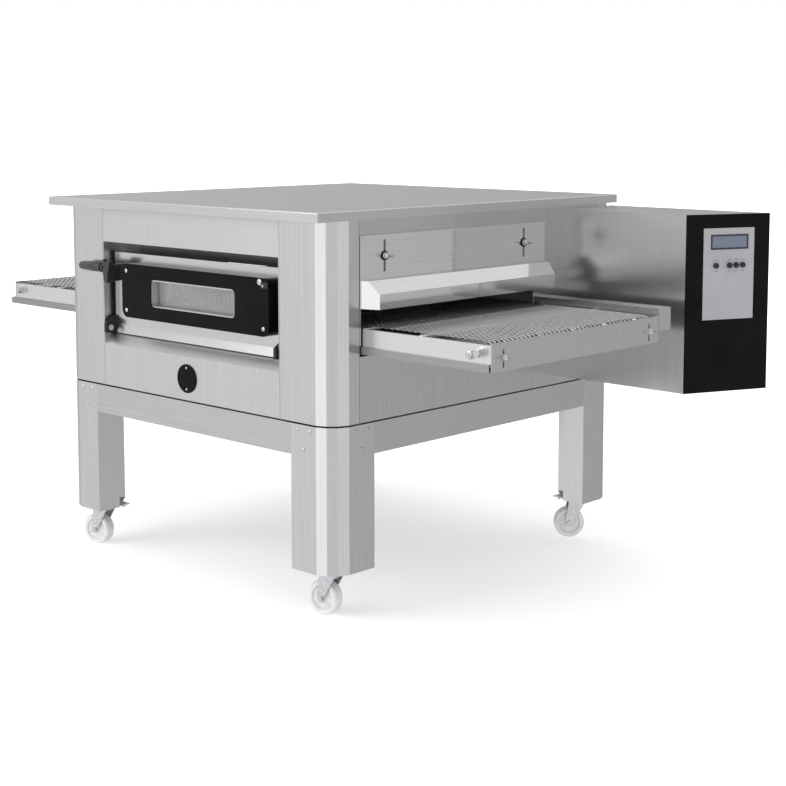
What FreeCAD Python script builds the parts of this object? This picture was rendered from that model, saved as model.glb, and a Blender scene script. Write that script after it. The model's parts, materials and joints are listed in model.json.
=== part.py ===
import FreeCAD, Part
import math
import os
import re
import Sketcher
from FreeCAD import Placement, Rotation, Vector

# Conveyor pizza oven on a castored stand, in millimetres.
#
# The drawing frame: X runs along the conveyor (+X is the exit end, with the control box), the operator
# stands at -Y, Z is up from the floor, X = 0 is the middle of the oven body and Y = 0 is the front edge
# of the top cover. Every sub-part is then shifted by (-mid_x, -mid_y), which puts the origin on the floor
# under the middle of the whole machine.

SIZES = {
    # top cover: a folded tray that overhangs the front
    "cover_width": 1000, "cover_depth": 1096, "cover_base": 902, "cover_top": 924, "cover_round": 3,
    # oven body
    "body_half": 498, "body_front": 43, "body_back": 1095, "body_base": 449, "wall": 1.5,
    "corner": 52.5, "front_seam": 330, "side_seam": 127.5, "seam": 0.8,
    "strip_front": 742, "strip_step": 803,
    # stand
    "leg_side": 132.5, "leg_base": 110, "leg_wall": 2, "leg_chamfer": 20,
    "rail_base": 373.5, "rail_lip": 34, "stand_top": 445, "rivet_near": 71.5, "rivet_far": 112,
    "rivet_mid": 92,
    "rivet_high": 432.5, "rivet_low": 389.5, "rivet_radius": 4.5, "rivet_rise": 3,
    # casters: 80 mm wheels
    "wheel_radius": 40, "wheel_half": 15, "hub_half": 16.7, "axle_radius": 4, "trail": 22,
    "king_radius": 6, "crown_radius": 28, "crown_base": 96.7, "plate_thick": 3,
    "plate_half_x": 50, "plate_half_y": 42,
    "yaw_front_left": 195, "yaw_front_right": 190, "yaw_rear_left": 150, "yaw_rear_right": 225,
    # clearances: a running fit, and the gap between pieces that pass each other
    "run_fit": 0.05, "gap": 0.3,
    # front recess and inspection door
    "recess_base": 555.5, "recess_top": 815, "recess_half": 327, "recess_depth": 25,
    "door_face": 68.5, "door_back": 92.5, "door_half": 314, "door_base": 603.5, "door_top": 788,
    "pivot_y": 50, "pivot_z": 596, "pivot_radius": 4,
    "bezel_face": 34.5, "bezel_left": -241, "bezel_right": 303, "bezel_base": 632, "bezel_top": 766,
    "bezel_round": 20, "bezel_shell": 22,
    "view_left": -127, "view_right": 186, "view_base": 665, "view_top": 732, "view_round": 12,
    "grip_y": 24, "grip_z": 752, "grip_root": -284, "grip_tip": -398, "grip_radius": 13,
    "badge_z": 502, "badge_radius": 35,
    # tunnel and mouths
    "mouth_front": 133, "mouth_back": 745, "mouth_base": 621.5, "mouth_top": 778,
    "slot_front": 129, "slot_back": 749, "slot_base": 598, "tunnel_top": 800, "tunnel_half": 494,
    # sliding shutters over the mouths
    "shutter_front": 129, "shutter_back": 786, "shutter_mitre": 15, "lip_z": 868, "lip_reach": 10,
    "ledge_z": 768, "ledge_x": 519, "hood_x": 546, "hood_top": 740, "hood_base": 706, "sheet": 2,
    "stud_front": 207, "stud_back": 703, "stud_z": 819.5, "stud_radius": 3, "stud_slot": 72,
    "knob_radius": 10, "knob_length": 18,
    # conveyor
    "belt_mid": 439, "frame_half": 303, "frame_base": 608, "frame_top": 661, "conveyor_end": 870,
    "belt_half": 293, "belt_top": 668, "belt_thick": 4, "shaft_x": 843, "shaft_z": 644,
    "shaft_radius": 10, "bush_radius": 13, "journal": 7, "end_base": 604, "end_top": 665,
    "end_slot": 265, "end_slot_low": 611, "end_slot_high": 651, "thumb_z": 633,
    "tray_base": 604, "tray_top": 621, "tray_side": 307.5, "tray_end": -889, "tray_inner": 868,
    # drive channel, chain and gearmotor
    "channel_front": 747, "channel_back": 796, "channel_base": 628, "channel_top": 682,
    "chain_y": 765, "sprocket_radius": 10, "chain_radius": 13.6, "motor_x": 560,
    # control box with a slanted fascia
    "box_front": 862, "box_back": 1074, "box_base": 464.5, "box_top": 895.5,
    "fascia_near": 869, "fascia_tip": 967, "fascia_thick": 3.3,
    "pad_left": 46, "pad_right": 189, "pad_base": 641, "pad_top": 862, "pad_thick": 1,
    "lcd_left": 67, "lcd_right": 171, "lcd_base": 812, "lcd_top": 845,
    "button_z": 772, "button_radius": 8, "button_high": 6, "button_travel": 2,
    "gland_x": 620, "gland_z": 520, "gland_sleeve": 16, "gland_nut": 20, "gland_bore": 9.5,
    # heaters and fan inside
    "heater_radius": 4.25, "heater_bend": 25, "heater_low": 644, "heater_high": 782, "heater_tail": 12,
    "fan_z": 700, "fan_radius": 88, "fan_can": 46, "fan_shaft": 6, "wool_back": 830,
}
FACETS = (22.5, 45.0, 67.5)
BUTTONS = (80, 118, 136.5, 155)
HEATER_PITCH = 120
HEATERS_PER_SIDE = 3
SUPPORT_PITCH = 168
SUPPORTS_PER_SIDE = 4
COG_PITCH = 118
COGS_PER_SIDE = 2

doc = FreeCAD.newDocument("conveyor_oven")
sheet = doc.addObject("Spreadsheet::Sheet", "Sizes")
for row, (alias, number) in enumerate(SIZES.items(), start=1):
    sheet.set(f"A{row}", alias)
    sheet.set(f"B{row}", str(number))
    sheet.setAlias(f"B{row}", alias)
doc.recompute()

nodes = []
END = {"exit": 1, "entry": -1}
MID_X = "(fascia_tip + tray_end) / 2"
MID_Y = "(body_back + rivet_rise) / 2"


def size(alias):
    """A driving dimension, read back from the sheet."""
    return float(sheet.get(alias))


def formula(text):
    """An expression in which each alias points at the sheet."""
    return re.sub(r"[a-z_]+", lambda word: "Sizes." + word[0] if word[0] in SIZES else word[0], str(text))


def put(piece, x, y, z, turn=None):
    """Place a piece at sheet-driven coordinates, with an optional rotation."""
    if turn:
        piece.Placement = Placement(Vector(), turn)
    for axis, place in zip("xyz", (x, y, z)):
        piece.setExpression(f"Placement.Base.{axis}", formula(place))
    return piece


def box(name, x, y, z):
    """A block between two sheet-driven limits on each axis."""
    block = doc.addObject("Part::Box", name)
    for side, (low, high) in zip(("Length", "Width", "Height"), (x, y, z)):
        block.setExpression(side, formula(f"({high}) - ({low})"))
    return put(block, x[0], y[0], z[0])


TURNS = {"x": Rotation(Vector(0, 1, 0), 90), "y": Rotation(Vector(1, 0, 0), -90), "z": Rotation()}


def rod(name, axis, x, y, z, radius, length):
    """A cylinder that starts at a point and runs along +X, +Y or +Z."""
    cylinder = doc.addObject("Part::Cylinder", name)
    cylinder.setExpression("Radius", formula(radius))
    cylinder.setExpression("Height", formula(length))
    return put(cylinder, x, y, z, TURNS[axis])


def cone(name, axis, x, y, z, root, tip, length):
    """A tapered round that starts at a point and runs along +X, +Y or +Z."""
    taper = doc.addObject("Part::Cone", name)
    taper.setExpression("Radius1", formula(root))
    taper.setExpression("Radius2", formula(tip))
    taper.setExpression("Height", formula(length))
    return put(taper, x, y, z, TURNS[axis])


def group(name, pieces):
    """Separate solids kept together."""
    together = doc.addObject("Part::Compound", name)
    together.Links = list(pieces)
    return together


def fuse(name, pieces):
    """Solids welded into one."""
    weld = doc.addObject("Part::MultiFuse", name)
    weld.Shapes = list(pieces)
    weld.Refine = True
    return weld


def cut(name, base, tools):
    """A solid with every tool taken out of it."""
    hollow = doc.addObject("Part::Cut", name)
    hollow.Base = base
    hollow.Tool = group(name + "_tools", tools)
    return hollow


def node(label, pieces):
    """A finished sub-part: its Label names its file, and its Placement brings it into the oven's frame."""
    part = group(label, pieces)
    part.Label = label
    put(part, f"-({MID_X})", f"-({MID_Y})", 0)
    nodes.append(part)
    return part


def plane_of(body, role):
    """One of a body's own origin planes."""
    return next(item for item in body.Origin.OriginFeatures if item.Role == role)


def outline(body, plane, points, offset):
    """A closed sketch on an origin plane, each corner fixed by its two sheet-driven coordinates."""
    sketch = body.newObject("Sketcher::SketchObject", body.Name + "_outline")
    sketch.AttachmentSupport = [(plane_of(body, plane), "")]
    sketch.MapMode = "FlatFace"
    sketch.setExpression("AttachmentOffset.Base.z", formula(offset))
    ring = 2 * math.pi / len(points)
    corners = [Vector(50 * math.cos(i * ring), 50 * math.sin(i * ring), 0) for i in range(len(points))]
    for index, start in enumerate(corners):
        sketch.addGeometry(Part.LineSegment(start, corners[(index + 1) % len(corners)]))
    for index, point in enumerate(points):
        sketch.addConstraint(Sketcher.Constraint("Coincident", index, 2, (index + 1) % len(points), 1))
        for kind, place in zip(("DistanceX", "DistanceY"), point):
            number = sketch.addConstraint(Sketcher.Constraint(kind, -1, 1, index, 1, 1.0))
            sketch.setExpression(f"Constraints[{number}]", formula(place))
    return sketch


# the direction that a pad takes from each origin plane, along the drawing frame's axis
NORMAL = {"XY_Plane": 1, "XZ_Plane": -1, "YZ_Plane": 1}


def prism(name, plane, points, low, high):
    """A body padded from one coordinate to another along its plane's axis."""
    body = doc.addObject("PartDesign::Body", name)
    start = low if NORMAL[plane] > 0 else f"-({high})"
    sketch = outline(body, plane, points, start)
    pad = body.newObject("PartDesign::Pad", name + "_pad")
    pad.Profile = sketch
    pad.setExpression("Length", formula(f"({high}) - ({low})"))
    sketch.Visibility = False
    return body


def turned(name, points):
    """A body of revolution about its own Z, from (radius, height) corners."""
    body = doc.addObject("PartDesign::Body", name)
    sketch = outline(body, "XZ_Plane", points, 0)
    spin = body.newObject("PartDesign::Revolution", name + "_spin")
    spin.Profile = sketch
    spin.ReferenceAxis = (sketch, ["V_Axis"])
    spin.Angle = 360
    return body


def rounded_block(name, x, y, z, radius):
    """A block whose four edges along Y are rounded."""
    wide = box(name + "_wide", x, y, (f"{z[0]} + {radius}", f"{z[1]} - ({radius})"))
    tall = box(name + "_tall", (f"{x[0]} + {radius}", f"{x[1]} - ({radius})"), y, z)
    rounds = []
    for side, centre_x in (("left", f"{x[0]} + {radius}"), ("right", f"{x[1]} - ({radius})")):
        for level, centre_z in (("low", f"{z[0]} + {radius}"), ("high", f"{z[1]} - ({radius})")):
            length = f"({y[1]}) - ({y[0]})"
            rounds.append(rod(f"{name}_{side}_{level}", "y", centre_x, y[0], centre_z, radius, length))
    return fuse(name, [wide, tall] + rounds)


# ---------------------------------------------------------------- bent corners of the body and the stand

def faceted_corner(sign_x, rear, inset):
    """Corner points from the front or back face to the side face, set in by a wall thickness."""
    side = f"{sign_x} * (body_half - ({inset}))"
    face = f"body_back - ({inset})" if rear else f"body_front + {inset}"
    inward = -1 if rear else 1
    step = f"(corner / ({' + '.join(f'cos({angle})' for angle in FACETS)}))"
    slack = f"({inset}) * tan(11.25)"
    points = [(f"{sign_x} * (body_half - corner - {slack})", face)]
    run = f"body_half - corner - ({inset}) * tan(11.25)"
    rise = "0"
    shorter = f"({step} - 2 * ({inset}) * tan(11.25))"
    for angle in FACETS:
        run = f"{run} + {shorter} * cos({angle})"
        rise = f"{rise} + {shorter} * sin({angle})"
        points.append((f"{sign_x} * ({run})", f"{face} + {inward} * ({rise})"))
    points[-1] = (side, f"{face} + {inward} * ({rise})")
    return points


def leg_outline(sign_x, rear, inset):
    """A leg's section: bent outer corner, chamfered inner corner."""
    face = f"body_back - ({inset})" if rear else f"body_front + {inset}"
    inward = -1 if rear else 1
    reach = f"(leg_side - 2 * ({inset}))"
    inner_x = f"body_half - leg_side + {inset}"
    bevel = f"(leg_chamfer - ({inset}) * (2 - sqrt(2)))"
    return [(f"{sign_x} * ({inner_x})", face)] + faceted_corner(sign_x, rear, inset) + [
        (f"{sign_x} * (body_half - ({inset}))", f"{face} + {inward} * {reach}"),
        (f"{sign_x} * ({inner_x} + {bevel})", f"{face} + {inward} * {reach}"),
        (f"{sign_x} * ({inner_x})", f"{face} + {inward} * ({reach} - {bevel})")]


def leg(label, sign_x, rear):
    """One hollow sheet-metal leg, closed at its foot."""
    post = prism(label + "_post", "XY_Plane", leg_outline(sign_x, rear, 0), "leg_base", "stand_top")
    core = prism(label + "_core", "XY_Plane", leg_outline(sign_x, rear, "leg_wall"),
                 "leg_base + leg_wall", "stand_top + 1")
    return cut(label + "_tube", post, [core])


def corner_post(label, sign_x, rear):
    """One bent sheet at a corner of the body, open towards the inside."""
    reach = "side_seam - body_front"
    face = "body_back" if rear else "body_front"
    inner_face = "body_back - wall" if rear else "body_front + wall"
    inward = -1 if rear else 1
    outer = faceted_corner(sign_x, rear, 0)
    inner = faceted_corner(sign_x, rear, "wall")
    points = [(f"{sign_x} * front_seam", face)] + outer
    points += [(f"{sign_x} * body_half", f"{face} + {inward} * ({reach})"),
               (f"{sign_x} * (body_half - wall)", f"{face} + {inward} * ({reach})")]
    points += inner[::-1] + [(f"{sign_x} * front_seam", inner_face)]
    return prism(label, "XY_Plane", points, "body_base", "cover_base")


def build_legs():
    """Two front legs and two rear legs."""
    node("legs_front", [leg("leg_front_left", -1, False), leg("leg_front_right", 1, False)])
    node("legs_rear", [leg("leg_rear_left", -1, True), leg("leg_rear_right", 1, True)])


def rail(name, web_x, web_y, top_x, top_y):
    """One angle rail: an upright web and a flange along its top."""
    web = box(f"rail_{name}_web", web_x, web_y, ("rail_base", "stand_top"))
    top = box(f"rail_{name}_top", top_x, top_y, ("stand_top - leg_wall", "stand_top"))
    return fuse(f"rail_{name}", [web, top])


def build_rails():
    """The four rails that tie the legs together."""
    span_x = ("-(body_half - leg_side)", "body_half - leg_side")
    span_y = ("body_front + leg_side", "body_back - leg_side")
    rails = [rail("front", span_x, ("body_front", "body_front + leg_wall"),
                  span_x, ("body_front", "body_front + rail_lip")),
             rail("rear", span_x, ("body_back - leg_wall", "body_back"),
                  span_x, ("body_back - rail_lip", "body_back")),
             rail("left", ("-body_half", "-body_half + leg_wall"), span_y,
                  ("-body_half", "-body_half + rail_lip"), span_y),
             rail("right", ("body_half - leg_wall", "body_half"), span_y,
                  ("body_half - rail_lip", "body_half"), span_y)]
    node("stand_rails", rails)


def rivet(name, axis, x, y, z, outward):
    """A rivet head that narrows away from the face it sits on."""
    wide, narrow = "rivet_radius", "rivet_radius * 0.6"
    roots = (wide, narrow) if outward > 0 else (narrow, wide)
    return cone(name, axis, x, y, z, roots[0], roots[1], "rivet_rise")


def build_rivets():
    """Three rivets on each outer face of every leg, level with the rails."""
    rivets = []
    places = (("rivet_near", "rivet_high"), ("rivet_far", "rivet_high"), ("rivet_mid", "rivet_low"))
    for sign in (-1, 1):
        for way in (-1, 1):
            face_y = "body_back" if way > 0 else "body_front - rivet_rise"
            side_x = "body_half" if sign > 0 else "-body_half - rivet_rise"
            for index, (along, level) in enumerate(places):
                tag = f"{'rear' if way > 0 else 'front'}_{'right' if sign > 0 else 'left'}_{index}"
                side_y = f"body_back - {along}" if way > 0 else f"body_front + {along}"
                rivets.append(rivet(f"rivet_face_{tag}", "y", f"{sign} * (body_half - {along})", face_y,
                                    level, way))
                rivets.append(rivet(f"rivet_side_{tag}", "x", side_x, side_y, level, sign))
    node("stand_rivets", rivets)


# ---------------------------------------------------------------- casters

CASTERS = (("front_left", -1, False), ("front_right", 1, False), ("rear_left", -1, True),
           ("rear_right", 1, True))


def caster_place(sign_x, rear):
    """The swivel axis under the middle of a leg."""
    y = "body_back - leg_side / 2" if rear else "body_front + leg_side / 2"
    return f"{sign_x} * (body_half - leg_side / 2)", y


def swing(piece, tag, sign_x, rear):
    """Turn a piece drawn about the swivel axis, and stand it under its leg."""
    x, y = caster_place(sign_x, rear)
    return put(piece, x, y, 0, Rotation(Vector(0, 0, 1), size("yaw_" + tag)))


def build_caster_plates():
    """Top plates under the legs, each with a headed kingpin."""
    plates = []
    for tag, sign_x, rear in CASTERS:
        x, y = caster_place(sign_x, rear)
        top = box(f"plate_{tag}", (f"{x} - plate_half_x", f"{x} + plate_half_x"),
                  (f"{y} - plate_half_y", f"{y} + plate_half_y"), ("leg_base - plate_thick", "leg_base"))
        pin = rod(f"king_{tag}", "z", x, y, "crown_base - 4", "king_radius",
                  "leg_base - plate_thick / 2 - crown_base + 4")
        head = rod(f"king_head_{tag}", "z", x, y, "crown_base - gap - 3", "king_radius + 4", 3)
        plates.append(fuse(f"caster_plate_{tag}", [top, pin, head]))
    node("caster_plates", plates)


def build_fork(tag, sign_x, rear):
    """A swivelling fork: a round crown, two arms and the bolt that the wheel turns on."""
    crown = rod(f"crown_{tag}", "z", 0, 0, "crown_base", "crown_radius",
                "leg_base - plate_thick - gap - crown_base")
    arm = [(-20, "crown_base + 3"), (24, "crown_base + 3"), ("trail + 11", "wheel_radius + 8"),
           ("trail + 9", "wheel_radius - 9"), ("trail - 9", "wheel_radius - 9"),
           ("trail - 12", "wheel_radius + 8")]
    near = prism(f"arm_near_{tag}", "XZ_Plane", arm, "-(hub_half + gap + 3)", "-(hub_half + gap)")
    far = prism(f"arm_far_{tag}", "XZ_Plane", arm, "hub_half + gap", "hub_half + gap + 3")
    bolt = rod(f"bolt_{tag}", "y", "trail", "-(hub_half + gap + 7)", "wheel_radius", "axle_radius",
               "2 * (hub_half + gap + 7)")
    head = rod(f"bolt_head_{tag}", "y", "trail", "-(hub_half + gap + 8)", "wheel_radius", "axle_radius + 3",
               5)
    nut = rod(f"bolt_nut_{tag}", "y", "trail", "hub_half + gap + 3", "wheel_radius", "axle_radius + 3", 5)
    welded = fuse(f"fork_weld_{tag}", [crown, near, far, bolt, head, nut])
    bore = rod(f"king_bore_{tag}", "z", 0, 0, "crown_base - 1", "king_radius + run_fit", 20)
    fork = cut(f"fork_{tag}", welded, [bore])
    swing(fork, tag, sign_x, rear)
    node(f"caster_fork_{tag}", [fork])


def build_wheel(tag, sign_x, rear):
    """A moulded wheel: tread, dished web and hub."""
    bore = "axle_radius + run_fit"
    half_section = [(11, "hub_half"), (12, 12), (26, 10), (29, "wheel_half"),
                    ("wheel_radius - 3", "wheel_half"),
                    ("wheel_radius", "wheel_half - 4")]
    profile = [(bore, "-hub_half")] + [(radius, f"-({rise})") for radius, rise in half_section]
    profile += half_section[::-1] + [(bore, "hub_half")]
    disc = turned(f"wheel_{tag}", profile)
    put(disc, "trail", 0, "wheel_radius", TURNS["y"])
    wheel = group(f"wheel_set_{tag}", [disc])
    swing(wheel, tag, sign_x, rear)
    node(f"caster_wheel_{tag}", [wheel])


# ---------------------------------------------------------------- casing

def build_floor():
    """The body's floor, with a plinth ring that stands on the rails."""
    floor = [box("floor_wide", ("-body_half + wall", "body_half - wall"),
                 ("side_seam", "body_back - side_seam + body_front"), ("body_base", "body_base + wall")),
             box("floor_deep", ("-front_seam", "front_seam"), ("body_front + wall", "body_back - wall"),
                 ("body_base", "body_base + wall"))]
    plinth = cut("plinth", box("plinth_outer", ("-body_half + 16", "body_half - 16"),
                               ("body_front + 70", "body_back - 70"), ("stand_top", "body_base")),
                 [box("plinth_inner", ("-body_half + 60", "body_half - 60"),
                      ("body_front + 120", "body_back - 120"), ("stand_top - 1", "body_base + 1"))])
    node("base_pan", [fuse("base_pan_weld", floor + [plinth])])


def build_posts():
    """Four bent corner sheets of the body."""
    posts = []
    for rear in (False, True):
        for sign in (-1, 1):
            name = f"post_{'rear' if rear else 'front'}_{'right' if sign > 0 else 'left'}"
            posts.append(corner_post(name, sign, rear))
    node("corner_posts", posts)


def recess_bevel(name, edge, way):
    """One sloping edge of the recess, and the collar behind it."""
    inner = f"{edge} + {way} * recess_depth"
    skin = f"{way} * wall * sqrt(2)"
    section = [("body_front", edge), ("body_front + recess_depth", inner),
               ("body_front + recess_depth", f"{inner} - ({skin})"), ("body_front", f"{edge} - ({skin})")]
    collar_z = (f"{inner} - wall", inner) if way > 0 else (inner, f"{inner} + wall")
    return [prism(f"bevel_{name}", "YZ_Plane", section, "-recess_half - wall", "recess_half + wall"),
            box(f"collar_{name}", ("-recess_half", "recess_half"),
                ("body_front + recess_depth", "door_back + 4"), collar_z)]


def recess_cheek(name, x):
    """One upright side of the recess."""
    return box(f"cheek_{name}", x, ("body_front + wall", "door_back + 4"),
               ("recess_base - 2 * wall", "recess_top + 2 * wall"))


def hinge_pin(name, start, head_x):
    """A headed pin between the recess's side and the door's ear."""
    shank = rod(f"pin_shank_{name}", "x", start, "pivot_y", "pivot_z", "pivot_radius",
                "recess_half + 4 - door_half + 3")
    head = rod(f"pin_head_{name}", "x", head_x, "pivot_y", "pivot_z", "pivot_radius + 3.5", 4)
    return fuse(f"hinge_pin_{name}", [shank, head])


def build_front_panel():
    """The front sheet with its bevelled recess, the collar behind it, and the door's hinge pins."""
    skin = box("front_sheet", ("-front_seam + seam", "front_seam - seam"),
               ("body_front", "body_front + wall"), ("body_base", "cover_base"))
    window = box("front_window", ("-recess_half", "recess_half"),
                 ("body_front - 1", "body_front + wall + 1"), ("recess_base", "recess_top"))
    pieces = [cut("front_opening", skin, [window])]
    pieces += recess_bevel("low", "recess_base", 1) + recess_bevel("high", "recess_top", -1)
    pieces += [recess_cheek("left", ("-recess_half - wall", "-recess_half")),
               recess_cheek("right", ("recess_half", "recess_half + wall"))]
    seats = [rod(f"pin_seat_{name}", "x", x, "pivot_y", "pivot_z", "pivot_radius", 8)
             for name, x in (("left", "-recess_half - 4"), ("right", "recess_half - 4"))]
    panel = cut("front_panel_drilled", fuse("front_panel_weld", pieces), seats)
    node("front_panel", [panel, hinge_pin("left", "-recess_half - 4", "-door_half + gap"),
                         hinge_pin("right", "door_half - 3", "door_half - gap - 4")])


def build_badge():
    """A plain round badge held by two small screws."""
    disc = rod("badge_disc", "y", 0, "body_front - 3", "badge_z", "badge_radius", 3)
    screws = [rod(f"badge_screw_{name}", "y", 0, "body_front - 4", f"badge_z + {rise}", 3, 2)
              for name, rise in (("low", -26), ("high", 26))]
    node("badge", [fuse("badge_weld", [disc] + screws)])


def build_side_panels():
    """Left and right sheets, each with a tunnel mouth, a tray slot and the shutter's studs."""
    for name, sign in END.items():
        low, high = ("body_half - wall", "body_half") if sign > 0 else ("-body_half", "-body_half + wall")
        skin = box(f"side_sheet_{name}", (low, high),
                   ("side_seam + seam", "body_back - side_seam + body_front - seam"),
                   ("body_base", "cover_base"))
        reach = (f"{low} - 5", f"{high} + 5")
        openings = [box(f"mouth_{name}", reach, ("mouth_front", "mouth_back"),
                        ("mouth_base - 1", "mouth_top")),
                    box(f"tray_slot_{name}", reach, ("slot_front", "slot_back"),
                        ("slot_base", "mouth_base"))]
        if sign > 0:
            openings += [rod("chain_hole", "x", "body_half - 10", "channel_front + 18", "shaft_z", 6, 20)]
        opened = cut(f"side_opened_{name}", skin, openings)
        studs = [rod(f"stud_{name}_{place}", "x",
                     "body_half - wall" if sign > 0 else "-body_half + wall - 30", place, "stud_z",
                     "stud_radius", 30) for place in ("stud_front", "stud_back")]
        pieces = [opened] + studs
        if sign > 0:
            proud = ("body_half", "body_half + 1.2")
            pieces.append(box("side_strip", proud, ("strip_step", "box_front"),
                              ("body_base", "cover_base")))
            pieces.append(box("side_strip_low", proud, ("strip_front", "strip_step"),
                              ("body_base", "slot_base - 4")))
            pieces.append(box("cable_cover", ("body_half", "body_half + 14"),
                              ("shutter_back + 3", "box_front"), (722, 742)))
        node(f"side_panel_{name}", [fuse(f"side_weld_{name}", pieces)])


def build_rear_panel():
    """The back sheet, with rows of cooling slots behind the fan and the heater terminals."""
    skin = box("rear_sheet", ("-front_seam + seam", "front_seam - seam"), ("body_back - wall", "body_back"),
               ("body_base", "cover_base"))
    slots = [box(f"louvre_{row}_{column}", (f"{column * 160} - 60", f"{column * 160} + 60"),
                 ("body_back - 5", "body_back + 5"), (f"{520 + row * 24}", f"{526 + row * 24}"))
             for row in range(8) for column in (-1, 0, 1)]
    node("rear_panel", [cut("rear_panel_slotted", skin, slots)])


def build_cover():
    """The top cover: a folded tray, rounded along its upper edges and open under its middle."""
    body = doc.addObject("PartDesign::Body", "cover_body")
    corners = [("-cover_width / 2", 0), ("cover_width / 2", 0), ("cover_width / 2", "cover_depth"),
               ("-cover_width / 2", "cover_depth")]
    sketch = outline(body, "XY_Plane", corners, "cover_base")
    slab = body.newObject("PartDesign::Pad", "cover_slab")
    slab.Profile = sketch
    slab.setExpression("Length", formula("cover_top - cover_base"))
    doc.recompute()
    rim = [f"Edge{number}" for number, edge in enumerate(slab.Shape.Edges, start=1)
           if edge.BoundBox.ZMin > size("cover_top") - 1]
    round_edge = body.newObject("PartDesign::Fillet", "cover_rounding")
    round_edge.Base = (slab, rim)
    round_edge.setExpression("Radius", formula("cover_round"))
    hollow = box("cover_hollow", ("-body_half + 25", "body_half - 25"),
                 ("body_front + 30", "body_back - 30"), ("cover_base - 1", "cover_top - wall"))
    node("top_cover", [cut("cover_tray", body, [hollow])])


# ---------------------------------------------------------------- tunnel, heat and air

def heater_positions():
    """Where the hairpin heaters cross the tunnel, counted out from its middle."""
    return [index * HEATER_PITCH for index in range(-HEATERS_PER_SIDE, HEATERS_PER_SIDE + 1)]


HEATER_LEVELS = ("heater_low", "heater_high")


def heater_holes(name, y, length, radius, levels):
    """Clearance holes for both legs of every hairpin."""
    return [rod(f"{name}_{level}_{x}_{leg_sign}", "y", f"{x} + {leg_sign} * heater_bend", y, level, radius,
                length)
            for level in levels for x in heater_positions() for leg_sign in (-1, 1)]


def build_tunnel():
    """The heated tunnel: a sight collar behind the door, intake holes, and holes for the heaters."""
    outer = box("tunnel_outer", ("-tunnel_half", "tunnel_half"), ("slot_front - wall", "slot_back + wall"),
                ("slot_base - wall", "tunnel_top + wall"))
    inner = box("tunnel_inner", ("-tunnel_half - 1", "tunnel_half + 1"), ("slot_front", "slot_back"),
                ("slot_base", "tunnel_top"))
    collar_x = ("view_left - 40", "view_right + 40")
    collar = box("view_collar", (f"{collar_x[0]} - wall", f"{collar_x[1]} + wall"),
                 ("door_back + 8", "slot_front"), ("frame_top + 10", "tunnel_top - 14"))
    sight = box("view_sight", collar_x, ("door_back + 7", "slot_front + 1"),
                ("frame_top + 10 + wall", "tunnel_top - 14 - wall"))
    intake = [rod(f"intake_{index}", "y",
                  f"{round(52 * math.cos(index * math.pi / 4), 3)}", "slot_back - 1",
                  f"fan_z + {round(52 * math.sin(index * math.pi / 4), 3)}", 14, 8) for index in range(8)]
    drilled = heater_holes("tunnel_hole", "slot_back - 1", 8, "heater_radius + 1", HEATER_LEVELS)
    tube = cut("tunnel_tube", fuse("tunnel_weld", [outer, collar]), [inner, sight] + intake + drilled)
    node("tunnel_liner", [tube])


def build_insulation():
    """Mineral wool under and over the tunnel."""
    wool_x = ("-tunnel_half + 20", "tunnel_half - 20")
    lower = box("wool_lower", wool_x, ("side_seam", "wool_back"), ("body_base + 4", "slot_base - wall"))
    upper = box("wool_upper", wool_x, ("side_seam", "wool_back"), ("tunnel_top + wall", "cover_base - 4"))
    node("insulation", [lower, upper])


def build_heaters():
    """Hairpin heaters across the tunnel, below and above the belt."""
    hairpins = []
    for level in HEATER_LEVELS:
        for x in heater_positions():
            legs = [rod(f"heater_leg_{level}_{x}_{way}", "y", f"{x} + {way} * heater_bend",
                        "mouth_front + 60", level, "heater_radius",
                        "slot_back + heater_tail - mouth_front - 60") for way in (-1, 1)]
            bend = doc.addObject("Part::Torus", f"heater_bend_{level}_{x}")
            bend.setExpression("Radius1", formula("heater_bend"))
            bend.setExpression("Radius2", formula("heater_radius"))
            bend.Angle3 = 180
            put(bend, x, "mouth_front + 60", level, Rotation(Vector(0, 0, 1), 180))
            hairpins.append(fuse(f"hairpin_{level}_{x}", legs + [bend]))
    node("heating_elements", hairpins)


def build_fan_motor():
    """The fan's motor on its bracket, bored for the fan's shaft."""
    can = rod("fan_motor_can", "y", 0, "slot_back + 95", "fan_z", "fan_can", 110)
    foot = box("fan_foot", (-70, 70), ("slot_back + 92", "slot_back + 98"), ("slot_base", "fan_z + 60"))
    spindle = rod("fan_spindle_bore", "y", 0, "slot_back + 60", "fan_z", "fan_shaft + run_fit", 90)
    node("fan_motor", [cut("fan_motor_bored", fuse("fan_motor_weld", [can, foot]), [spindle])])


def build_fan_wheel():
    """A back plate with eight radial blades on a hub and shaft."""
    hub = rod("fan_hub", "y", 0, "slot_back + 14", "fan_z", 20, 36)
    shaft = rod("fan_spindle", "y", 0, "slot_back + 20", "fan_z", "fan_shaft", 124)
    disc = rod("fan_disc", "y", 0, "slot_back + 46", "fan_z", "fan_radius", 3)
    blades = []
    for index in range(8):
        angle = index * 45
        blade = box(f"fan_blade_{index}", (0, 46), (0, 32), (0, 3))
        spot = Rotation(Vector(0, 1, 0), angle).multVec(Vector(40, 0, -1.5))
        blades.append(put(blade, round(spot.x, 3), "slot_back + 15", f"fan_z + {round(spot.z, 3)}",
                          Rotation(Vector(0, 1, 0), angle)))
    node("fan_wheel", [fuse("fan_wheel_weld", [hub, shaft, disc] + blades)])


# ---------------------------------------------------------------- inspection door

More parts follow.
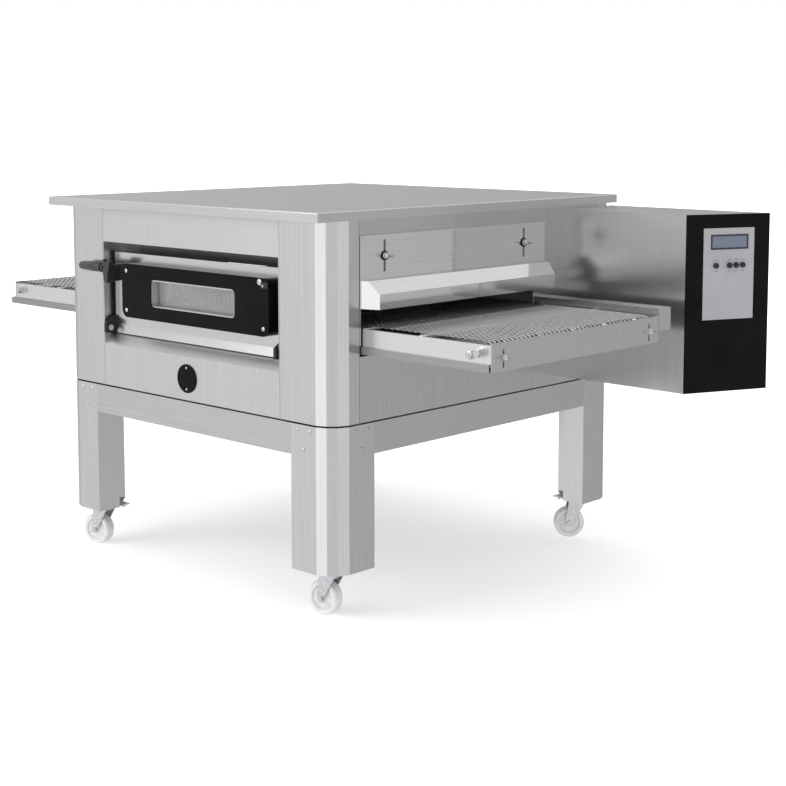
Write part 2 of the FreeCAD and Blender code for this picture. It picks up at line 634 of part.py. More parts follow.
def build_door_panel():
    """The drop-down door's folded sheet, hollow on both sides of its window."""
    section = [("door_face", "door_top"), ("door_face", "door_base"), ("door_face - 8", "door_base - 20"),
               ("door_face - 3", "door_base - 20"), ("door_face + 4", "door_base - 11"),
               ("door_back", "door_base - 11"), ("door_back", "door_top - 10"),
               ("door_face + 4", "door_top - 10"), ("door_face + 4", "door_top")]
    plate = prism("door_plate", "YZ_Plane", section, "-door_half", "door_half")
    view = rounded_block("door_view", ("view_left", "view_right"), ("door_face - 1", "door_back + 1"),
                         ("view_base", "view_top"), "view_round")
    core = box("door_core", ("-door_half + 4", "view_left - 6"), ("door_face + 3", "door_back - 3"),
               ("door_base - 6", "door_top - 14"))
    core_right = box("door_core_right", ("view_right + 6", "door_half - 4"),
                     ("door_face + 3", "door_back - 3"),
                     ("door_base - 6", "door_top - 14"))
    node("door_panel", [cut("door_panel_cut", plate, [view, core, core_right])])


def build_bezel():
    """The window's thick bezel, the glass behind it and its four screws."""
    bezel_x = ("bezel_left", "bezel_right")
    bezel_z = ("bezel_base", "bezel_top")
    block = rounded_block("bezel_block", bezel_x, ("bezel_face", "door_face"), bezel_z, "bezel_round")
    cavity = rounded_block("bezel_cavity", ("bezel_left + 7", "bezel_right - 7"),
                           ("bezel_face + bezel_shell", "door_face + 1"),
                           ("bezel_base + 7", "bezel_top - 7"),
                           "bezel_round - 7")
    opening = rounded_block("bezel_view", ("view_left", "view_right"),
                            ("bezel_face - 1", "bezel_face + bezel_shell + 1"), ("view_base", "view_top"),
                            "view_round")
    node("door_bezel", [cut("door_bezel_cut", block, [cavity, opening])])
    node("door_glass", [box("glass_pane", ("view_left - 30", "view_right + 30"),
                            ("bezel_face + bezel_shell", "bezel_face + bezel_shell + 5"),
                            ("view_base - 16", "view_top + 16"))])
    screw_x = ("bezel_left + 18", "bezel_right - 18")
    screw_z = ("bezel_base + 18", "bezel_top - 18")
    screws = [rod(f"bezel_screw_{i}_{j}", "y", x, "bezel_face - 2.5", z, 5, 2.5)
              for i, x in enumerate(screw_x) for j, z in enumerate(screw_z)]
    node("door_screws", screws)


def build_handle():
    """A forked handle bracket and a tapered grip that points away from the door."""
    outline_y = [("grip_root - 21.5", "grip_z - 6"), ("grip_root - 17", "grip_z + 16"),
                 ("grip_root - 8", "grip_z + 8"), ("grip_root + 2", "grip_z + 16"),
                 ("grip_root + 10", "grip_z - 2"),
                 ("grip_root - 2", "grip_z - 38"), ("grip_root - 16", "grip_z - 38")]
    bracket = prism("handle_casting", "XZ_Plane", outline_y, "grip_y - 4", "door_face")
    boss = rod("handle_boss", "x", "grip_root - 22", "grip_y", "grip_z", "grip_radius + 1", 26)
    node("handle_bracket", [fuse("handle_bracket_weld", [bracket, boss])])
    reach = "grip_root - 22 - grip_tip"
    grip = cone("grip_cone", "x", "grip_tip + 4", "grip_y", "grip_z", "grip_radius - 3", "grip_radius",
                f"{reach} - 4")
    cap = cone("grip_cap", "x", "grip_tip", "grip_y", "grip_z", "grip_radius - 6", "grip_radius - 3", 4)
    node("handle_grip", [fuse("handle_grip_weld", [cap, grip])])


def build_hinge_ears():
    """Ears at the door's lower corners that hang on the hinge pins."""
    ears = []
    for name, low in (("left", "-door_half - 9"), ("right", "door_half")):
        ear = [("pivot_y - 12", "pivot_z - 12"), ("pivot_y + 12", "pivot_z - 14"),
               ("door_back - 4", "pivot_z - 2"),
               ("door_back - 4", "pivot_z + 30"), ("door_face - 6", "pivot_z + 30"),
               ("pivot_y - 12", "pivot_z + 12")]
        lug = prism(f"ear_{name}", "YZ_Plane", ear, low, f"{low} + 9")
        hole = rod(f"ear_hole_{name}", "x", f"{low} - 1", "pivot_y", "pivot_z", "pivot_radius + run_fit",
                   12)
        ears.append(cut(f"hinge_ear_{name}", lug, [hole]))
    node("hinge_ears", ears)


# ---------------------------------------------------------------- shutters

SHUTTER_BACK_OF = "body_half + gap"
SHUTTER_FACE = "(body_half + gap + sheet)"


def hood_sheet(name, sign):
    """The shutter's bent sheet: lip, upright face, sloping hood and hood front."""
    section = [(SHUTTER_BACK_OF, "lip_z"), (f"{SHUTTER_FACE} + lip_reach", "lip_z"),
               (f"{SHUTTER_FACE} + lip_reach", "lip_z - sheet"), (SHUTTER_FACE, "lip_z - sheet"),
               (SHUTTER_FACE, "ledge_z"), ("ledge_x", "ledge_z"), ("hood_x", "hood_top"),
               ("hood_x", "hood_base"),
               ("hood_x - sheet", "hood_base"), ("hood_x - sheet", "hood_top - 1"),
               ("ledge_x - 1", "ledge_z - sheet"), (SHUTTER_BACK_OF, "ledge_z - sheet")]
    section = [(f"{sign} * ({x})", z) for x, z in section]
    return prism(f"hood_{name}", "XZ_Plane", section, "shutter_front", "shutter_back")


def mitre_wedge(name, sign, edge, way):
    """What the mitred end of the hood loses."""
    far = f"{sign} * (hood_x + 5)"
    corner = f"{sign} * {SHUTTER_FACE}"
    wedge = [(corner, edge), (f"{sign} * hood_x", f"{edge} + {way} * shutter_mitre"),
             (far, f"{edge} + {way} * shutter_mitre"), (far, f"{edge} - {way} * 5"),
             (corner, f"{edge} - {way} * 5")]
    return prism(f"mitre_{name}", "XY_Plane", wedge, "hood_base - 5", "ledge_z + 1")


def hood_cheek(name, sign, edge, way):
    """The plate that closes a mitred end of the hood, shaved to its slope."""
    back = f"{sign} * ({SHUTTER_BACK_OF})"
    flat = [(back, edge), (f"{sign} * {SHUTTER_FACE}", edge),
            (f"{sign} * hood_x", f"{edge} + {way} * shutter_mitre"),
            (f"{sign} * hood_x", f"{edge} + {way} * (shutter_mitre + sheet)"),
            (back, f"{edge} + {way} * sheet")]
    web = prism(f"cheek_{name}", "XY_Plane", flat, "hood_base", "ledge_z")
    slope = [(f"{sign} * ledge_x", "ledge_z"), (f"{sign} * hood_x", "hood_top"),
             (f"{sign} * (hood_x + 5)", "hood_top"), (f"{sign} * (hood_x + 5)", "ledge_z + 5"),
             (f"{sign} * ledge_x", "ledge_z + 5")]
    shave = prism(f"slope_{name}", "XZ_Plane", slope, "shutter_front - 5", "shutter_back + 5")
    return cut(f"hood_cheek_{name}", web, [shave])


def stud_slot(name, sign, place):
    """An upright slot with round ends, in which a stud lets the shutter slide."""
    start = "body_half - 5" if sign > 0 else "-body_half - 15"
    half = "(stud_slot / 2 - stud_radius - gap)"
    radius = "(stud_radius + 2 * gap)"
    middle = box(f"slot_{name}", (start, f"{start} + 20"), (f"{place} - {radius}", f"{place} + {radius}"),
                 (f"stud_z - {half}", f"stud_z + {half}"))
    ends = [rod(f"slot_end_{name}_{way}", "x", start, place, f"stud_z + {way} * {half}", radius, 20)
            for way in (-1, 1)]
    return [middle] + ends


def build_shutter(name, sign):
    """A folded sheet with a hood, mitred at both ends and slotted for two studs."""
    trims = []
    cheeks = []
    slots = []
    for place, edge, way in (("front", "shutter_front", 1), ("back", "shutter_back", -1)):
        trims.append(mitre_wedge(f"{name}_{place}", sign, edge, way))
        cheeks.append(hood_cheek(f"{name}_{place}", sign, edge, way))
        slots += stud_slot(f"{name}_{place}", sign, f"stud_{place}")
    trimmed = cut(f"hood_trimmed_{name}", hood_sheet(name, sign), trims)
    welded = fuse(f"shutter_weld_{name}", [trimmed] + cheeks)
    node(f"shutter_{name}", [cut(f"shutter_slotted_{name}", welded, slots)])


def build_knob(name, sign, place):
    """A winged hand knob that clamps the shutter on one stud."""
    bore = "stud_radius + run_fit"
    profile = [(bore, 0), ("knob_radius - 3", 0), ("knob_radius - 3", 5), ("knob_radius", 7),
               ("knob_radius", "knob_length - 3"), ("knob_radius - 3", "knob_length"),
               (bore, "knob_length")]
    hub = turned(f"knob_body_{name}_{place}", profile)
    wings = [box(f"knob_wing_{name}_{place}_{side}", reach, (-2.5, 2.5), (6, "knob_length - 1"))
             for side, reach in (("a", ("knob_radius - 2", "knob_radius + 4")),
                                 ("b", ("-knob_radius - 4", "-knob_radius + 2")))]
    handle = fuse(f"knob_weld_{name}_{place}", [hub] + wings)
    put(handle, f"{sign} * ({SHUTTER_FACE} + gap)", f"stud_{place}", "stud_z",
        Rotation(Vector(0, 1, 0), 90 * sign))
    node(f"knob_{name}_{place}", [handle])


# ---------------------------------------------------------------- conveyor

BELT_RADIUS = "(belt_top - shaft_z)"
SHAFTS = ((1, "drive"), (-1, "idler"))


def from_belt(way, near, far):
    """Two limits across the belt, counted outwards from its middle towards the front or the rear."""
    low, high = (near, far) if way > 0 else (far, near)
    return f"belt_mid + {way} * ({low})", f"belt_mid + {way} * ({high})"


def side_rail(name, way):
    """One side rail: a web bored for both shafts, a top flange and a bead over the crumb tray."""
    span = ("-conveyor_end - 2", "conveyor_end")
    web = box(f"frame_web_{name}", span, from_belt(way, "frame_half - 2", "frame_half"),
              ("frame_base", "frame_top"))
    top = box(f"frame_top_{name}", span, from_belt(way, "frame_half - 8", "frame_half"),
              ("frame_top - 1.5", "frame_top"))
    bead = box(f"frame_bead_{name}", span, from_belt(way, "frame_half", "frame_half + 2.5"),
               ("tray_top - 3.8", "tray_top - 1.8"))
    start = from_belt(way, "frame_half - 3", "frame_half + 1")[0]
    holes = [rod(f"frame_hole_{name}_{side}", "y", f"{side} * shaft_x", start, "shaft_z", "bush_radius", 5)
             for side in (-1, 1)]
    if way > 0:
        holes += heater_holes("frame_heater", "belt_mid + frame_half - 5", 8, "heater_radius + 1",
                              ["heater_low"])
    return cut(f"frame_rail_{name}", fuse(f"frame_weld_{name}", [web, top, bead]), holes)


def shaft_bush(name, side, start):
    """A flangeless bush in a side rail, in which a shaft turns."""
    x = f"{side} * shaft_x"
    sleeve = rod(f"bush_{name}", "y", x, start, "shaft_z", "bush_radius", 8)
    bore = rod(f"bush_bore_{name}", "y", x, f"{start} - 1", "shaft_z", "shaft_radius + run_fit", 10)
    return cut(f"bush_{name}_cut", sleeve, [bore])


def build_conveyor_frame():
    """Both side rails, the cross supports under the belt's upper run, and the four shaft bushes."""
    rails = [side_rail("front", -1), side_rail("rear", 1)]
    supports = [rod(f"support_{index}", "y", f"{index * SUPPORT_PITCH}", "belt_mid - frame_half + 2",
                    "belt_top - belt_thick - gap - 4", 4, "2 * frame_half - 4")
                for index in range(-SUPPORTS_PER_SIDE, SUPPORTS_PER_SIDE + 1)]
    bushes = []
    for side, tag in SHAFTS:
        bushes.append(shaft_bush(f"{tag}_front", side, "belt_mid - frame_half - 3"))
        bushes.append(shaft_bush(f"{tag}_rear", side, "belt_mid + frame_half - 5"))
    node("conveyor_frame", rails + supports + bushes)


def band(name, inset, spare):
    """A flat band with round ends over both shafts, smaller by an inset and wider by a spare."""
    radius = f"({BELT_RADIUS} - ({inset}))"
    low = f"belt_mid - belt_half - {spare}"
    run = box(f"{name}_run", ("-shaft_x", "shaft_x"), (low, f"belt_mid + belt_half + {spare}"),
              (f"shaft_z - {radius}", f"shaft_z + {radius}"))
    ends = [rod(f"{name}_round_{side}", "y", f"{side} * shaft_x", low, "shaft_z", radius,
                f"2 * (belt_half + {spare})") for side in (-1, 1)]
    return fuse(name, [run] + ends)


def build_belt():
    """The closed belt, drawn as one smooth band."""
    node("mesh_belt", [cut("belt_loop", band("belt_outer", 0, 0), [band("belt_inner", "belt_thick", 1)])])


def build_shaft(side, tag):
    """One end shaft with its nut and the cogs that carry the belt; the driven one also has a chain cog."""
    x = f"{side} * shaft_x"
    outer_y = "belt_mid - frame_half - 12"
    end = "belt_mid + frame_half + 3.5" if side < 0 else "chain_y - 8"
    pieces = [rod(f"{tag}_shaft_rod", "y", x, outer_y, "shaft_z", "shaft_radius", f"{end} - ({outer_y})"),
              rod(f"{tag}_nut", "y", x, f"{outer_y} - 5", "shaft_z", "shaft_radius - 2", 5)]
    pieces += [rod(f"{tag}_cog_{index}", "y", x, f"belt_mid + {index * COG_PITCH} - 4", "shaft_z",
                   f"{BELT_RADIUS} - belt_thick - gap", 8)
               for index in range(-COGS_PER_SIDE, COGS_PER_SIDE + 1)]
    if side > 0:
        pieces.append(rod("drive_journal", "y", x, "chain_y - 8", "shaft_z", "journal", 14))
        pieces.append(rod("drive_chain_cog", "y", x, "chain_y - 3", "shaft_z", "sprocket_radius", 6))
    node(f"{tag}_shaft", [fuse(f"{tag}_shaft_weld", pieces)])


def build_crumb_tray():
    """The shallow tray under the conveyor, hemmed along both sides."""
    front, rear = ("belt_mid - tray_side", "belt_mid + tray_side")
    span = ("tray_end", "tray_inner")
    outer = box("tray_outer", span, (front, rear), ("tray_base", "tray_top"))
    inner = box("tray_inner", ("tray_end + 1.5", "tray_inner + 1"), (f"{front} + wall", f"{rear} - wall"),
                ("tray_base + wall", "tray_top + 1"))
    hem_z = ("tray_top - wall", "tray_top")
    hems = [box("tray_hem_front", span, (front, f"{front} + 4"), hem_z),
            box("tray_hem_rear", span, (f"{rear} - 4", rear), hem_z)]
    node("crumb_tray", [fuse("tray_weld", [cut("tray_pan", outer, [inner])] + hems)])


def build_end_plates():
    """Slotted stop plates at both conveyor ends, held by thumb screws."""
    for name, sign in END.items():
        reach = ("conveyor_end", "conveyor_end + 2")
        low, high = reach if sign > 0 else ("-conveyor_end - 4", "-conveyor_end - 2")
        base = "end_base" if sign > 0 else "tray_top + 3"
        skin = box(f"end_skin_{name}", (low, high),
                   ("belt_mid - frame_half - 1", "belt_mid + frame_half + 1"), (base, "end_top"))
        slot_low = "end_slot_low" if sign > 0 else "thumb_z - 4"
        slots = [box(f"end_slot_{name}_{way}", (f"{low} - 2", f"{high} + 2"),
                     (f"belt_mid + {way} * end_slot - 2.5", f"belt_mid + {way} * end_slot + 2.5"),
                     (slot_low, "end_slot_high")) for way in (-1, 1)]
        node(f"end_plate_{name}", [cut(f"end_plate_cut_{name}", skin, slots)])


# ---------------------------------------------------------------- drive and controls

def build_channel():
    """The closed channel along the far rail that covers the chain."""
    outer = box("channel_outer", ("body_half", "conveyor_end"), ("channel_front", "channel_back"),
                ("channel_base", "channel_top"))
    inner = box("channel_inner", ("body_half - 1", "conveyor_end - wall"),
                ("channel_front + wall", "channel_back - wall"),
                ("channel_base + wall", "channel_top - wall"))
    ports = [rod("channel_port_shaft", "y", "shaft_x", "channel_front - 3", "shaft_z", "shaft_radius + 1",
                 8),
             rod("channel_port_motor", "y", "motor_x", "channel_back - 5", "shaft_z", "journal + 1", 8)]
    node("drive_channel", [cut("channel_cut", outer, [inner] + ports)])


def build_chain():
    """The drive chain, drawn as one closed band round both cogs."""
    loop = []
    for tag, radius, grow in (("outer", "chain_radius", 0), ("inner", "(sprocket_radius + gap)", 1)):
        y = (f"chain_y - 3 - {grow}", f"chain_y + 3 + {grow}")
        run = box(f"chain_{tag}_run", ("motor_x", "shaft_x"), y,
                  (f"shaft_z - {radius}", f"shaft_z + {radius}"))
        ends = [rod(f"chain_{tag}_{end}", "y", end, y[0], "shaft_z", radius, f"6 + 2 * {grow}")
                for end in ("motor_x", "shaft_x")]
        loop.append(fuse(f"chain_{tag}", [run] + ends))
    node("drive_chain", [cut("chain_loop", loop[0], [loop[1]])])


def build_gearmotor():
    """The gearmotor on the control box's floor."""
    gearbox = box("gearbox_case", ("motor_x - 45", "motor_x + 45"), ("box_front + 14", "box_front + 94"),
                  ("shaft_z - 45", "shaft_z + 45"))
    motor = rod("motor_can", "x", "motor_x + 45", "box_front + 54", "shaft_z", 36, 140)
    pad = box("motor_foot", ("motor_x - 45", "motor_x + 45"), ("box_front + 14", "box_front + 94"),
              ("box_base + wall", "shaft_z - 45"))
    seat = rod("motor_seat", "y", "motor_x", "box_front + 10", "shaft_z", "journal + run_fit", 30)
    node("gearmotor", [cut("gearmotor_bored", fuse("gearmotor_weld", [gearbox, motor, pad]), [seat])])


def build_motor_shaft():
    """The gearmotor's output shaft with its chain cog."""
    spindle = rod("motor_spindle", "y", "motor_x", "chain_y - 8", "shaft_z", "journal",
                  "box_front + 38 - chain_y + 8")
    cog = rod("motor_cog", "y", "motor_x", "chain_y - 3", "shaft_z", "sprocket_radius", 6)
    node("motor_shaft", [fuse("motor_shaft_weld", [spindle, cog])])


def fascia_frame():
    """A placement on the slanted fascia: X along it from its near edge, Y into the box, Z up."""
    run = size("fascia_tip") - size("fascia_near")
    depth = size("box_back") - size("box_front")
    slant = math.degrees(math.atan2(depth, run))
    return Placement(Vector(size("fascia_near"), size("box_front"), 0), Rotation(Vector(0, 0, 1), slant))


def on_fascia(piece, along, out, z, turn=None):
    """Put a piece on the fascia by its distance along it, its height above it, and its level."""
    place = fascia_frame().multiply(Placement(Vector(along, -out, z), turn or Rotation()))
    piece.Placement = place
    return piece


def fascia_block(name, low, high, base, top, out_low, out_high):
    """A block on the fascia, from one height above it to another."""
    block = doc.addObject("Part::Box", name)
    block.setExpression("Length", formula(f"{high} - ({low})"))
    block.setExpression("Width", formula(f"{out_high} - ({out_low})"))
    block.setExpression("Height", formula(f"{top} - ({base})"))
    return on_fascia(block, size(low), size(out_high) if isinstance(out_high, str) else out_high,
                     size(base))


def box_outline(inset):
    """The control box seen from above, set in by a wall thickness."""
    return [("body_half", f"box_front + {inset}"),
            (f"fascia_near - fascia_thick - ({inset}) * 0.6", f"box_front + {inset}"),
            (f"fascia_tip - fascia_thick - ({inset}) * 1.5", f"box_back - ({inset})"),
            ("body_half", f"box_back - ({inset})")]


def build_control_box():
    """The control box's folded shell, open towards the oven's body."""
    shell = prism("box_shell", "XY_Plane", box_outline(0), "box_base", "box_top")
    hollow = prism("box_hollow", "XY_Plane", box_outline("wall"), "box_base + wall", "box_top - wall")
    mouth = box("box_mouth", ("body_half - 1", "body_half + 20"), ("box_front + 20", "box_back - 20"),
                ("box_base + 20", "box_top - 20"))
    ports = [rod("box_port_motor", "y", "motor_x", "box_front - 3", "shaft_z", "journal + 1", 8),
             rod("box_port_gland", "y", "gland_x", "box_back - 5", "gland_z",
                 "gland_sleeve + run_fit", 8)]
    node("control_box", [cut("control_box_cut", shell, [hollow, mouth] + ports)])


def build_fascia():
    """The slanted plate that closes the control box's end."""
    face = [("fascia_near - fascia_thick", "box_front"), ("fascia_near", "box_front"),
            ("fascia_tip", "box_back"), ("fascia_tip - fascia_thick", "box_back")]
    node("control_fascia", [prism("fascia_plate", "XY_Plane", face, "box_base", "box_top")])


def build_key_pad():
    """The membrane pad on the fascia and the display let into it."""
    pad = fascia_block("pad_sheet", "pad_left", "pad_right", "pad_base", "pad_top", 0, "pad_thick")
    lcd = fascia_block("lcd_gap", "lcd_left", "lcd_right", "lcd_base", "lcd_top", 0, "pad_thick")
    node("key_pad", [cut("key_pad_cut", pad, [lcd])])
    node("display", [fascia_block("lcd_glass", "lcd_left", "lcd_right", "lcd_base", "lcd_top", 0,
                                  "pad_thick")])


def build_buttons():
    """Four round push buttons on the key pad."""
    for index, along in enumerate(BUTTONS, start=1):
        cap = [("button_radius - 1", 0), ("button_radius", 1), ("button_radius", "button_high - 2"),
               ("button_radius - 2", "button_high"), (0, "button_high"), (0, 0)]
        button = turned(f"button_cap_{index}", cap)
        lift = size("pad_thick") + size("button_travel") + size("gap")
        on_fascia(button, along, lift, size("button_z"), Rotation(Vector(1, 0, 0), 90))
        node(f"button_{index}", [button])


def build_board():
    """The circuit board on its posts in the control box."""
    board = box("board_sheet", ("fascia_near - 250", "fascia_near - 30"),
                ("box_back - 14", "box_back - 12"), ("box_base + 190", "box_top - 40"))
    chips = []
    for index in range(4):
        reach = 240 - 50 * index
        chips.append(box(f"board_chip_{index}", (f"fascia_near - {reach}", f"fascia_near - {reach - 30}"),
                         ("box_back - 30", "box_back - 14"), ("box_base + 230", "box_base + 262")))
    posts = [rod(f"board_post_{index}", "y", f"fascia_near - {240 - 200 * index}", "box_back - 12",
                 "box_top - 60", 4, "12 - wall") for index in range(2)]
    node("circuit_board", [fuse("circuit_board_weld", [board] + chips + posts)])


def build_gland():
    """The power cord's gland in the control box's back."""
    gland_y = "box_back - 8"
    sleeve = rod("gland_tube", "y", "gland_x", gland_y, "gland_z", "gland_sleeve",
                 "cover_depth - 2 - box_back + 8")
    nut = rod("gland_ring", "y", "gland_x", "box_back", "gland_z", "gland_nut", 10)
    bore = rod("gland_hole", "y", "gland_x", f"{gland_y} - 1", "gland_z", "gland_bore", 60)
    node("cable_gland", [cut("cable_gland_cut", fuse("cable_gland_weld", [sleeve, nut]), [bore])])


def faults():
    """Objects that failed to recompute, and sub-parts whose shape is missing or not valid."""
    broken = [item.Name for item in doc.Objects if {"Invalid", "Error"} & set(item.State)]
    broken += [item.Label for item in nodes if item.Shape.isNull() or not item.Shape.isValid()]
    return broken


build_legs()
build_rails()
build_rivets()
build_caster_plates()
for caster in CASTERS:
    build_fork(*caster)
    build_wheel(*caster)
build_floor()
build_posts()
build_front_panel()
build_badge()
build_side_panels()
build_rear_panel()
build_cover()
build_tunnel()
build_insulation()
build_heaters()
build_fan_motor()
build_fan_wheel()
build_door_panel()
build_bezel()
build_handle()
build_hinge_ears()
for end_name, end_sign in END.items():
    build_shutter(end_name, end_sign)
    build_knob(end_name, end_sign, "front")
    build_knob(end_name, end_sign, "back")
build_conveyor_frame()
build_belt()
for shaft_side, shaft_name in SHAFTS:
    build_shaft(shaft_side, shaft_name)
build_end_plates()
build_crumb_tray()
build_channel()
build_chain()
build_gearmotor()
build_motor_shaft()
build_control_box()
build_fascia()
build_key_pad()
build_buttons()
build_board()
build_gland()
doc.recompute()
if faults():
    raise RuntimeError(f"not built: {faults()}")
os.makedirs("parts", exist_ok=True)
for item in nodes:
    item.Shape.exportStep(f"parts/{item.Label}.step")
print(f"{len(nodes)} sub-parts written")
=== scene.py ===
import json
import math

import bmesh
import bpy
from mathutils import Matrix, Vector


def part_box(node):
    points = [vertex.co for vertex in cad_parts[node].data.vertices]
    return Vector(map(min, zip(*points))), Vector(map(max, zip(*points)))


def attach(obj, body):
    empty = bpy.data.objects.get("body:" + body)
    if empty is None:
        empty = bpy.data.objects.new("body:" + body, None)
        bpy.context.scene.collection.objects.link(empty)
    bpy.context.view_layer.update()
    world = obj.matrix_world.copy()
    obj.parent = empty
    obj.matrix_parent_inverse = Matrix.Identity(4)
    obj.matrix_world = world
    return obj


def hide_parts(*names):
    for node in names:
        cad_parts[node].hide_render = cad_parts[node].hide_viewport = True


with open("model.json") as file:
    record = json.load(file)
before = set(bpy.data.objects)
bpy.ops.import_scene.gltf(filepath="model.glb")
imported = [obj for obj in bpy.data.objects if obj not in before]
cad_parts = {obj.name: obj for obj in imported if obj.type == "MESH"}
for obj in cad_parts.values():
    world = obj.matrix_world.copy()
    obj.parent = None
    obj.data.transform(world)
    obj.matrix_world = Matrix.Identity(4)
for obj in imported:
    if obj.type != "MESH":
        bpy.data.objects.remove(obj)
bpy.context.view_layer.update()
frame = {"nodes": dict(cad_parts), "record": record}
NODES = frame["nodes"]

# ------------------------------------------------------------------ places, read from the CAD nodes
COVER_LOW, COVER_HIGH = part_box("top_cover")
MID_X = (COVER_LOW.x + COVER_HIGH.x) / 2
FRONT_Y = COVER_LOW.y


def at(x, y, z):
    """A point given in millimetres from the middle of the cover's front edge, on the floor."""
    return Vector((MID_X + x / 1000, FRONT_Y + y / 1000, z / 1000))


# ------------------------------------------------------------------ camera, light and floor

CAMERA_PLACE = at(2881.1, -2279.6, 1131.1)
CAMERA_YAW = 0.7583
CAMERA_PITCH = 0.1030
CAMERA_LENS = 70.77
CAMERA_SHIFT = -0.15


def make_camera():
    data = bpy.data.cameras.new("camera")
    data.lens = CAMERA_LENS
    data.sensor_width = 36
    data.shift_y = CAMERA_SHIFT
    data.clip_end = 60
    camera = bpy.data.objects.new("camera", data)
    bpy.context.scene.collection.objects.link(camera)
    forward = Vector((-math.sin(CAMERA_YAW) * math.cos(CAMERA_PITCH),
                      math.cos(CAMERA_YAW) * math.cos(CAMERA_PITCH), -math.sin(CAMERA_PITCH)))
    camera.location = CAMERA_PLACE
    camera.rotation_euler = forward.to_track_quat("-Z", "Y").to_euler()
    bpy.context.scene.camera = camera


# how bright the studio is around the compass, from 0 at +X, turning through +Y: (share of a turn, brightness)
STUDIO_RING = ((0.0, 0.98), (0.07, 0.72), (0.125, 0.62), (0.2, 0.46), (0.35, 0.44), (0.5, 0.70),
               (0.62, 0.97), (0.70, 1.05), (0.75, 1.55), (0.79, 1.0), (0.86, 0.84), (0.93, 1.05),
               (1.0, 0.98))
# how much of the even overhead light shows at each height, from the floor's level at 0.5 to straight up at 1
OVERHEAD_SHARE = ((0.60, 0.0), (0.78, 1.0))
OVERHEAD = 0.98
KEY_PLACE = at(-1500, -3200, 2600)
KEY_TARGET = at(0, 500, 500)
KEY_SIZE = 3.0
KEY_POWER = 60
FLOOR_REACH = 30


def grey_ramp(tree, source, stops):
    """A grey that follows a field through a list of (place, value)."""
    node = tree.nodes.new("ShaderNodeValToRGB")
    elements = node.color_ramp.elements
    for index, (place, value) in enumerate(stops):
        stop = elements[index] if index < 2 else elements.new(place)
        stop.position = place
        stop.color = (value, value, value, 1)
    tree.links.new(source, node.inputs["Fac"])
    return node.outputs["Color"]


def make_world():
    """A white backdrop for the camera, and a softly graded studio for light and reflections."""
    world = bpy.data.worlds.new("studio")
    world.use_nodes = True
    tree = world.node_tree
    tree.nodes.clear()
    coords = tree.nodes.new("ShaderNodeTexCoord")
    compass = tree.nodes.new("ShaderNodeTexGradient")
    compass.gradient_type = "RADIAL"
    turn = tree.nodes.new("ShaderNodeMapping")
    turn.inputs["Rotation"].default_value = (0, 0, math.pi)
    tree.links.new(coords.outputs["Generated"], turn.inputs["Vector"])
    tree.links.new(turn.outputs["Vector"], compass.inputs["Vector"])
    rise = tree.nodes.new("ShaderNodeTexGradient")
    tip = tree.nodes.new("ShaderNodeMapping")
    tip.inputs["Rotation"].default_value = (0, math.pi / 2, 0)
    tip.inputs["Scale"].default_value = (0.5, 0.5, 0.5)
    tip.inputs["Location"].default_value = (0.5, 0, 0)
    tree.links.new(coords.outputs["Generated"], tip.inputs["Vector"])
    tree.links.new(tip.outputs["Vector"], rise.inputs["Vector"])
    around = tree.nodes.new("ShaderNodeBackground")
    tree.links.new(grey_ramp(tree, compass.outputs["Fac"], STUDIO_RING), around.inputs["Color"])
    above = tree.nodes.new("ShaderNodeBackground")
    above.inputs["Color"].default_value = (OVERHEAD, OVERHEAD, OVERHEAD, 1)
    soft = tree.nodes.new("ShaderNodeMixShader")
    tree.links.new(grey_ramp(tree, rise.outputs["Fac"], OVERHEAD_SHARE), soft.inputs["Fac"])
    tree.links.new(around.outputs["Background"], soft.inputs[1])
    tree.links.new(above.outputs["Background"], soft.inputs[2])
    seen = tree.nodes.new("ShaderNodeBackground")
    seen.inputs["Color"].default_value = (1, 1, 1, 1)
    path = tree.nodes.new("ShaderNodeLightPath")
    mix = tree.nodes.new("ShaderNodeMixShader")
    out = tree.nodes.new("ShaderNodeOutputWorld")
    tree.links.new(path.outputs["Is Camera Ray"], mix.inputs["Fac"])
    tree.links.new(soft.outputs["Shader"], mix.inputs[1])
    tree.links.new(seen.outputs["Background"], mix.inputs[2])
    tree.links.new(mix.outputs["Shader"], out.inputs["Surface"])
    bpy.context.scene.world = world
    bpy.context.scene.view_settings.view_transform = "Standard"


def make_light(name, place, target, size, power):
    data = bpy.data.lights.new(name, "AREA")
    data.energy = power
    data.size = size
    light = bpy.data.objects.new(name, data)
    bpy.context.scene.collection.objects.link(light)
    light.location = place
    light.rotation_euler = (Vector(target) - Vector(place)).to_track_quat("-Z", "Y").to_euler()


def make_floor():
    mesh = bpy.data.meshes.new("floor")
    corners = [(x * FLOOR_REACH, y * FLOOR_REACH, 0) for x, y in ((-1, -1), (1, -1), (1, 1), (-1, 1))]
    mesh.from_pydata(corners, [], [(0, 1, 2, 3)])
    floor = bpy.data.objects.new("floor", mesh)
    bpy.context.scene.collection.objects.link(floor)
    mesh.materials.append(MATERIALS["floor"])
    floor.visible_glossy = False


# ------------------------------------------------------------------ materials

